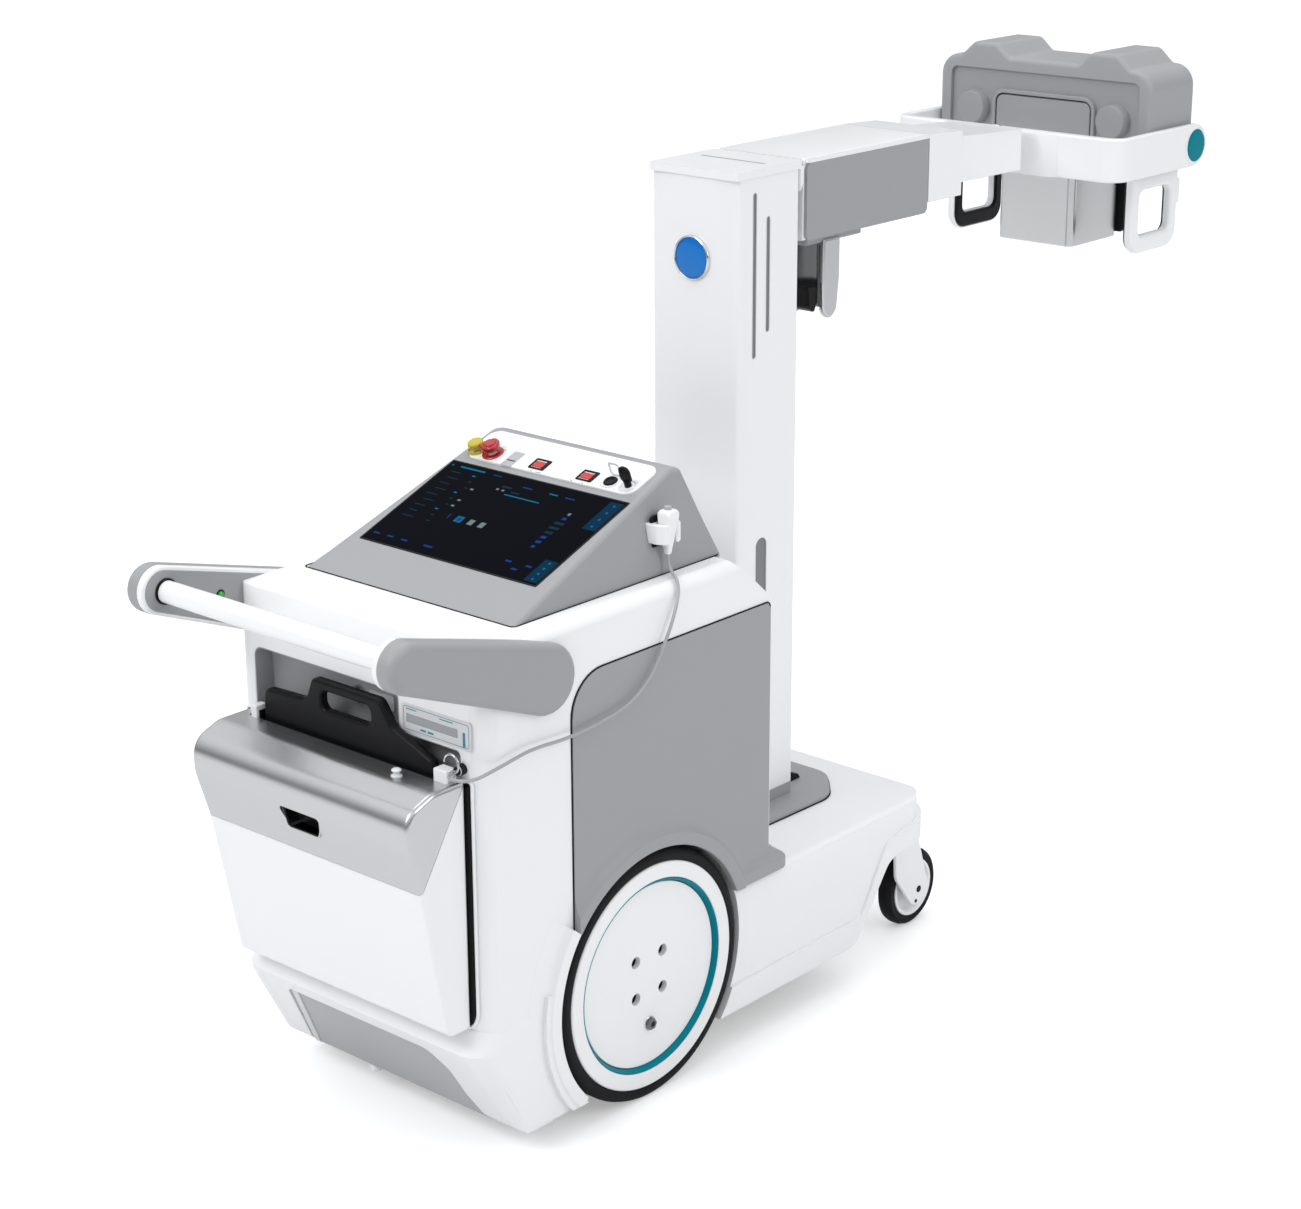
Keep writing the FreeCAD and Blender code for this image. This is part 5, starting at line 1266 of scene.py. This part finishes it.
# Arm.
# A white box arm runs in the column on a carriage, closed by satin grey side panels. Under it
# hang a grey skirt and the parking bracket: two polished fins, a web and a black jaw.
dress("arm_carriage", frame_coat)
dress("arm_housing", gloss_white)
dress("arm_side_panels", satin_grey)
dress("arm_inner_tube", unit_steel)
dress("arm_end_block", gloss_white)
ARM_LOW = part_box("arm_housing")[0].z / MM
polished = finish("polished_steel", (0.6, 0.6, 0.61), rough=0.14, shade=0.01, metal=1.0, grain=0.0)
# The web's steel is the polished steel made darker: painted shade for the gap between the fins.
shaded_steel = finish("polished_steel_painted_shade", (0.16, 0.16, 0.165), rough=0.18, metal=1.0, grain=0.0)
hanger = slab(bmesh.new(), rounded(rect(700, 862, -37, 37, 6)), "z", 1291, ARM_LOW + 1, (3, 0))
assemble("bracket_block", hanger, satin_grey, "arm", ["docking_bracket"])
fin_outline = [
    (744, 1296), (742, 1215, 60), (744, 1166, 14), (764, 1147, 16), (784, 1166, 16), (791, 1225, 90),
    (791, 1296),
]
fins = bmesh.new()
for side in (-1, 1):
    slab(fins, rounded(fin_outline, 10), "y", side * 33, side * 43, (1.5, 4))
assemble("bracket_fins", fins, polished, "arm", sharp=40)
web = bmesh.new()
arc = [math.radians(a) for a in range(-70, 71, 10)]
web_outline = [(733 + 14 * math.cos(t), 34.5 * math.sin(t) / math.sin(arc[-1])) for t in arc]
web_outline += [(738 + 14 * math.cos(t), 34.5 * math.sin(t) / math.sin(arc[-1])) for t in reversed(arc)]
slab(web, rounded(web_outline), "z", 1176, 1294, 0)
assemble("bracket_web", web, shaded_steel, "arm", sharp=60)
jaw_outline = [
    (712, 1214), (770, 1214), (772, 1180, 10), (758, 1168, 5), (750, 1184, 8), (738, 1184, 8),
    (730, 1166, 5), (716, 1176, 10),
]
assemble("bracket_jaw", slab(bmesh.new(), rounded(jaw_outline), "y", -33.5, 33.5, 1.5), soft_black, "arm")
skirt_outline = rounded([(606, ARM_LOW + 0.5), (640, ARM_LOW + 0.5), (612, 1196, 8), (606, 1190)])
skirt = slab(bmesh.new(), skirt_outline, "y", -46, 46, 2)
assemble("carriage_skirt", skirt, satin_grey, "arm")
seam = rounded(rect(-92.5, 92.5, ARM_LOW + 1, 1459, 5))
bead("arm_joint", [here(978.6, p.x, p.y) for p in seam], 1.1, groove_grey, "arm")

# Fork.
# The white fork turns on a round steel plate at the arm's end. Its rear wall thickens into a
# faceted boss, and its arms end in rounded tips with teal caps over the head's tilt pins.
FORK_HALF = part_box("yoke_fork")[1].y / MM
ARM_THICK = 15.0
WALL_THICK = 25.0
TIP_X = 1628.0
TIP_Z = 1378.0
TIP_R = 41.0
WALL_X = 1350.0
CORNER = 34.0
SWIVEL_Z = 1385.0


def fork_stations():
    """Stations along the right half: (x, y, direction, half thickness, half height)."""
    stations = []
    arm_y = FORK_HALF - ARM_THICK / 2
    for k in range(9):
        turn = math.radians(87 - 87 * k / 8)
        x = TIP_X + TIP_R * math.sin(turn)
        stations.append((x, arm_y, 0.0, ARM_THICK / 2 - 2.5 * (k == 0), TIP_R * math.cos(turn)))
    stations.append((1500, arm_y, 0.0, ARM_THICK / 2, TIP_R))
    wall_mid = WALL_X + WALL_THICK / 2
    for k in range(9):
        turn = math.pi / 2 * k / 8
        x = wall_mid + CORNER * (1 - math.sin(turn))
        y = arm_y - CORNER * (1 - math.cos(turn))
        half = (ARM_THICK + (WALL_THICK - ARM_THICK) * k / 8) / 2
        stations.append((x, y, turn, half, TIP_R))
    stations.append((wall_mid, 140, math.pi / 2, WALL_THICK / 2, TIP_R))
    return stations


band = bmesh.new()
half_run = fork_stations()
run = [(x, -y, turn, half, high) for x, y, turn, half, high in half_run]
run += [(x, y, math.pi - turn, half, high) for x, y, turn, half, high in reversed(half_run)]
rings = []
for number, (x, y, turn, half, high) in enumerate(run):
    mirror = -1 if number < len(half_run) else 1
    heading = turn if mirror < 0 else math.pi - turn
    across_x, across_y = -math.sin(heading), mirror * math.cos(heading)
    corner = min(4.5, half - 0.5, high - 0.5)
    section = rounded(rect(-half, half, -high, high, max(corner, 0.3)), 4)
    rings.append([band.verts.new(here(x + p.x * across_x, y + p.x * across_y, TIP_Z + p.y)) for p in section])
loft(band, rings)
assemble("fork_band", band, gloss_white, "fork", ["yoke_fork"], sharp=42)
boss_bm = bmesh.new()
LOW, HIGH = TIP_Z - TIP_R + 1, TIP_Z + TIP_R - 1
front_ring = [(-92, HIGH), (-120, LOW), (120, LOW), (92, HIGH)]
back_ring = [(-131, HIGH), (-131, LOW), (131, LOW), (131, HIGH)]
front_verts = [boss_bm.verts.new(here(1335.5, y, z)) for y, z in front_ring]
back_verts = [boss_bm.verts.new(here(1351, y, z)) for y, z in back_ring]
deep_verts = [boss_bm.verts.new(here(1366, y, z)) for y, z in back_ring]
wall(boss_bm, front_verts, back_verts)
wall(boss_bm, back_verts, deep_verts)
boss_bm.faces.new(front_verts)
boss_bm.faces.new(deep_verts)
bmesh.ops.bevel(
    boss_bm, geom=list(boss_bm.edges), offset=1.4 * MM, segments=2, profile=0.5, affect="EDGES",
    clamp_overlap=True,
)
assemble("fork_boss", boss_bm, gloss_white, "fork", sharp=30)
swivel = turned(bmesh.new(), [
    (21, 1335.4), (41, 1335.4), (41, 1332), (39, 1330.6), (21, 1330.6),
], "x", 0, SWIVEL_Z, 64)
assemble("swivel_ring", swivel, soft_black, "fork")
swivel_chrome = turned(bmesh.new(), [
    (38, 1330), (43, 1330), (43, 1326), (41.5, 1324.6), (38, 1324.6),
], "x", 0, SWIVEL_Z, 64)
assemble("swivel_trim", swivel_chrome, chrome, "arm_slide")
cap_profile = [
    (0, FORK_HALF - 2), (31, FORK_HALF - 2), (31, FORK_HALF + 1.6), (29.4, FORK_HALF + 3.4),
    (24, FORK_HALF + 4), (0, FORK_HALF + 4.2),
]
pin_profile = [(0, 226), (14, 226), (14, FORK_HALF), (0, FORK_HALF)]
trim_profile = [
    (31.4, FORK_HALF - 1), (36.5, FORK_HALF - 1), (36.5, FORK_HALF + 0.8), (34, FORK_HALF + 2),
    (31.4, FORK_HALF + 1.6),
]
caps = bmesh.new()
cap_trim = bmesh.new()
for side in (-1, 1):
    turned(caps, across(cap_profile, side), "y", TIP_X, TIP_Z, 64)
    turned(caps, across(pin_profile, side), "y", TIP_X, TIP_Z, 32)
    turned(cap_trim, across(trim_profile, side), "y", TIP_X, TIP_Z, 64)
assemble("tilt_caps", caps, teal, "fork", ["yoke_caps"], sharp=45)
assemble("tilt_cap_trims", cap_trim, gloss_white, "fork")

# Tube head.
# A deep satin grey casting holds the tube. Its rear face has a sunken panel with a framed door
# and two round bosses, and its top has two humps with rounded shoulders.
head_low, head_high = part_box("head_housing")
HEAD_BACK = head_low.x / MM - AXLE_X / MM + 12
HEAD_FRONT = head_high.x / MM - AXLE_X / MM
HEAD_LOW = 1330.0
head_grey = finish("head_grey_plastic", (0.345, 0.352, 0.364), rough=0.42, shade=0.012, grain=0.04)
head_points = [
    (243, HEAD_LOW, 20), (243, 1530, 40), (196, 1530, 14), (166, 1557, 16), (108, 1557, 16), (80, 1532, 14),
]
head_outline = rounded(mirrored(head_points), 8)
panel_outline = rounded(rect(-217, 217, HEAD_LOW + 14, 1506, 14))
head = bmesh.new()
SINK = 9.0
outer_near, outer_far = rounded_wall(head, head_outline, "x", HEAD_BACK, HEAD_FRONT, (10, 14), 6)
lid(head, outer_far)
inner_near, inner_far = rounded_wall(head, panel_outline, "x", HEAD_BACK, HEAD_BACK + SINK, (-1.4, 0), 3)
lid(head, outer_near, inner_near)
lid(head, inner_far)
assemble("head_shell", head, head_grey, "head", ["head_housing"], sharp=40)
relief = bmesh.new()
door_outline = rounded(rect(-119, 119, HEAD_LOW + 15, 1470, 26), 8)
slab(
    relief, door_outline, "x", HEAD_BACK + SINK + 0.5, HEAD_BACK + 0.6, (0, 1.8), [shrunk(door_outline, 8)],
    4,
)
slab(relief, shrunk(door_outline, 11), "x", HEAD_BACK + SINK + 0.5, HEAD_BACK + 1.8, (0, 2), (), 4)
boss_profile = [
    (0, -14), (27.5, -14), (30.5, -13), (31.6, -10), (32, 2), (34, SINK), (34, SINK + 1), (0, SINK + 1),
]
for side in (-1, 1):
    turned(relief, [(radius, HEAD_BACK + along) for radius, along in boss_profile], "x", side * 161, 1430, 64)
assemble("head_relief", relief, head_grey, "head", sharp=40)
gap_lines = shrunk(door_outline, 9.5)
bead("door_joint", [here(HEAD_BACK + SINK - 0.4, p.x, p.y) for p in gap_lines], 0.9, soft_black, "head")
dress("xray_tube", unit_steel)

# Hand rings.
# A white ring handle hangs under each side of the head, with a black soft shell on its inner
# side and a full rounded section. A small white stop block sits at the front of each.
GRIP_X = (1485.0, 1651.0)
GRIP_LOW = 1176.0
GRIP_TOP = HEAD_LOW + 2
ring_corners = [
    (GRIP_X[0], GRIP_LOW, 36), (GRIP_X[1], GRIP_LOW, 36), (GRIP_X[1], GRIP_TOP, 4),
    (GRIP_X[0], GRIP_TOP, 4),
]
ring_outline = rounded(ring_corners, 10)
ring_hole = rounded(rect(GRIP_X[0] + 27, GRIP_X[1] - 27, GRIP_LOW + 34, GRIP_LOW + 122, 16), 8)
for name, side in (("left", 1), ("right", -1)):
    shell = slab(bmesh.new(), ring_outline, "y", side * 200, side * 217, (2, 8), [ring_hole], 6)
    assemble("hand_ring_" + name, shell, gloss_white, "head", ["head_grips"] if side > 0 else (), sharp=45)
    liner = slab(
        bmesh.new(), shrunk(ring_outline, 3), "y", side * 201, side * 194.5, (0, 4.5),
        [shrunk(ring_hole, -2)], 5,
    )
    assemble("ring_liner_" + name, liner, soft_black, "head", sharp=45)
    stop_block = slab(
        bmesh.new(), rounded(rect(GRIP_X[1] - 4, GRIP_X[1] + 10, 1256, 1306, 4)), "y", side * 198,
        side * 214, 3,
    )
    assemble("ring_stop_" + name, stop_block, gloss_white, "head")

# Collimator.
# A silver box with soft corners hangs on a round neck under the head. Its front is a black
# control panel with two knobs and a lamp button.
BOX_X = (1475.0, 1645.0)
BOX_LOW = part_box("collimator_housing")[0].z / MM
BOX_TOP = 1316.0
KNOB_Z = 1216.0
light_metal = finish(
    "collimator_silver", (0.68, 0.68, 0.685), rough=0.26, shade=0.003, grain=0.0, metal=0.92, coat=0.0,
)
shell = slab(bmesh.new(), rounded(rect(BOX_X[0], BOX_X[1], -87, 87, 16), 8), "z", BOX_LOW, BOX_TOP, 3)
turned(shell, [
    (0, BOX_TOP - 1), (48, BOX_TOP - 1), (48, BOX_TOP + 13.5), (0, BOX_TOP + 13.5),
], "z", 1560, 0, 56)
assemble("collimator_box", shell, light_metal, "collimator", ["collimator_housing"], sharp=40)
beam_hole = rounded(rect(1510, 1610, -48, 48, 4))
window_edge = rounded(rect(1500, 1620, -58, 58, 8))
window_frame = slab(bmesh.new(), window_edge, "z", BOX_LOW + 0.5, BOX_LOW - 1.2, (0, 0.6), [beam_hole])
assemble("beam_window_frame", window_frame, soft_black, "collimator")
window_pane = slab(bmesh.new(), rounded(rect(1509, 1611, -49, 49, 4)), "z", BOX_LOW + 0.5, BOX_LOW - 0.3, 0)
assemble("beam_window", window_pane, glass, "collimator")
control = slab(
    bmesh.new(), rounded(rect(-100, 100, 1186, 1290, 12), 6), "x", BOX_X[1] - 1, BOX_X[1] + 12, (0, 2.5),
)
assemble("collimator_panel", control, soft_black, "collimator")
line_outside = rounded(rect(-101, 101, 1185, 1291, 12), 6)
line_inside = rounded(rect(-99, 99, 1187, 1289, 11), 6)
teal_edge = slab(bmesh.new(), line_outside, "x", BOX_X[1] + 4, BOX_X[1] + 6, 0, [line_inside])
assemble("collimator_teal_line", teal_edge, teal, "collimator")
face_x = BOX_X[1] + 12
readout = slab(bmesh.new(), rounded(rect(-60, 60, 1240, 1278, 4)), "x", face_x - 0.5, face_x + 0.6, (0, 0.3))
assemble("collimator_readout", readout, display_grey, "collimator")
knob_profile = [(0, 0.4), (13, 0.4), (13, 3), (11.4, 4.2), (11.0, 12.5), (9.5, 14), (0, 14)]
for name, y in (("left", 45), ("right", -45)):
    knob = turned(bmesh.new(), [(radius, face_x + out) for radius, out in knob_profile], "x", y, KNOB_Z, 40)
    slab(knob, rounded(rect(y - 1.2, y + 1.2, KNOB_Z + 2, KNOB_Z + 10)), "x", face_x + 13.6, face_x + 14.4, 0)
    assemble("cross_knob_" + name, knob, pale_grey, "knob_" + name, ["collimator_knob_" + name], sharp=40)
dress("lamp_button", pale_grey)

# Studio.
# A pale floor and soft lamps show the machine on its own, and the camera stands where the
# photograph was taken from.
floor_bm = bmesh.new()
for x, y in ((-40, -40), (60, -40), (60, 60), (-40, 60)):
    floor_bm.verts.new((x, y, 0))
floor_bm.faces.new(floor_bm.verts)
floor_mesh = bpy.data.meshes.new("floor")
floor_bm.to_mesh(floor_mesh)
floor_bm.free()
floor = placed("floor", floor_mesh)
floor_paint = finish("floor_paint", (0.84, 0.84, 0.845), rough=0.8, shade=0.0, grain=0.0, edge=0.0)
FLOOR_GLOW = 0.34
floor_nodes = floor_paint.node_tree.nodes
floor_links = floor_paint.node_tree.links
rays = floor_nodes.new("ShaderNodeLightPath")
glow = floor_nodes.new("ShaderNodeEmission")
level = floor_nodes.new("ShaderNodeMath")
level.operation = "MULTIPLY"
level.inputs[1].default_value = FLOOR_GLOW
floor_links.new(rays.outputs["Is Camera Ray"], level.inputs[0])
floor_links.new(level.outputs[0], glow.inputs["Strength"])
both = floor_nodes.new("ShaderNodeAddShader")
floor_links.new(floor_nodes["Principled BSDF"].outputs[0], both.inputs[0])
floor_links.new(glow.outputs[0], both.inputs[1])
floor_links.new(both.outputs[0], floor_nodes["Material Output"].inputs["Surface"])
floor_mesh.materials.append(floor_paint)

world = bpy.data.worlds.new("studio")
world.use_nodes = True
bpy.context.scene.world = world
sky_nodes, sky_links = world.node_tree.nodes, world.node_tree.links
sky = sky_nodes["Background"]
sky.inputs["Color"].default_value = (0.97, 0.985, 1.0, 1.0)
direction = sky_nodes.new("ShaderNodeTexCoord")
upright = sky_nodes.new("ShaderNodeSeparateXYZ")
sky_links.new(direction.outputs["Generated"], upright.inputs[0])
level = sky_nodes.new("ShaderNodeMapRange")
level.inputs["From Min"].default_value = 0.1
level.inputs["From Max"].default_value = 0.7
level.inputs["To Min"].default_value = 0.16
level.inputs["To Max"].default_value = 1.06
sky_links.new(upright.outputs["Z"], level.inputs["Value"])
sky_links.new(level.outputs["Result"], sky.inputs["Strength"])
backdrop = sky_nodes.new("ShaderNodeBackground")
backdrop.inputs["Color"].default_value = (1.0, 1.0, 1.0, 1.0)
seen_sky = sky_nodes.new("ShaderNodeLightPath")
pick = sky_nodes.new("ShaderNodeMixShader")
sky_links.new(seen_sky.outputs["Is Camera Ray"], pick.inputs[0])
sky_links.new(sky.outputs[0], pick.inputs[1])
sky_links.new(backdrop.outputs[0], pick.inputs[2])
sky_links.new(pick.outputs[0], sky_nodes["World Output"].inputs["Surface"])


def lamp(name, place, target, size, power):
    """Round soft lamp that points at a target."""
    light = bpy.data.lights.new(name, "AREA")
    light.shape = "DISK"
    light.size = size
    light.energy = power
    stand = placed(name, light)
    stand.location = place
    stand.rotation_euler = (Vector(target) - Vector(place)).to_track_quat("-Z", "Y").to_euler()


lamp("key_lamp", (-4.6, 1.0, 4.2), (-0.2, 0, 0.7), 2.4, 96)
lamp("side_lamp", (0.8, -5.0, 3.2), (-0.1, 0, 0.7), 2.6, 56)
lamp("top_lamp", (0.2, 0.3, 5.4), (0, 0, 0.5), 4.0, 40)

CAMERA_PLACE = (-3.5978, -2.9662, 2.2232)
CAMERA_YAW = 41.334
CAMERA_PITCH = -18.553
CAMERA_ROLL = -0.253
LENS = 75.66
camera_data = bpy.data.cameras.new("photo_camera")
camera_data.sensor_fit = "HORIZONTAL"
camera_data.sensor_width = 36.0
camera_data.lens = LENS
camera = placed("photo_camera", camera_data)
yaw, pitch = math.radians(CAMERA_YAW), math.radians(CAMERA_PITCH)
ahead = Vector((math.cos(yaw) * math.cos(pitch), math.sin(yaw) * math.cos(pitch), math.sin(pitch)))
camera.rotation_mode = "QUATERNION"
camera.rotation_quaternion = ahead.to_track_quat("-Z", "Y") @ Matrix.Rotation(
    math.radians(CAMERA_ROLL), 3, "Z").to_quaternion()
camera.location = CAMERA_PLACE
bpy.context.scene.camera = camera
bpy.context.scene.view_settings.view_transform = "Standard"
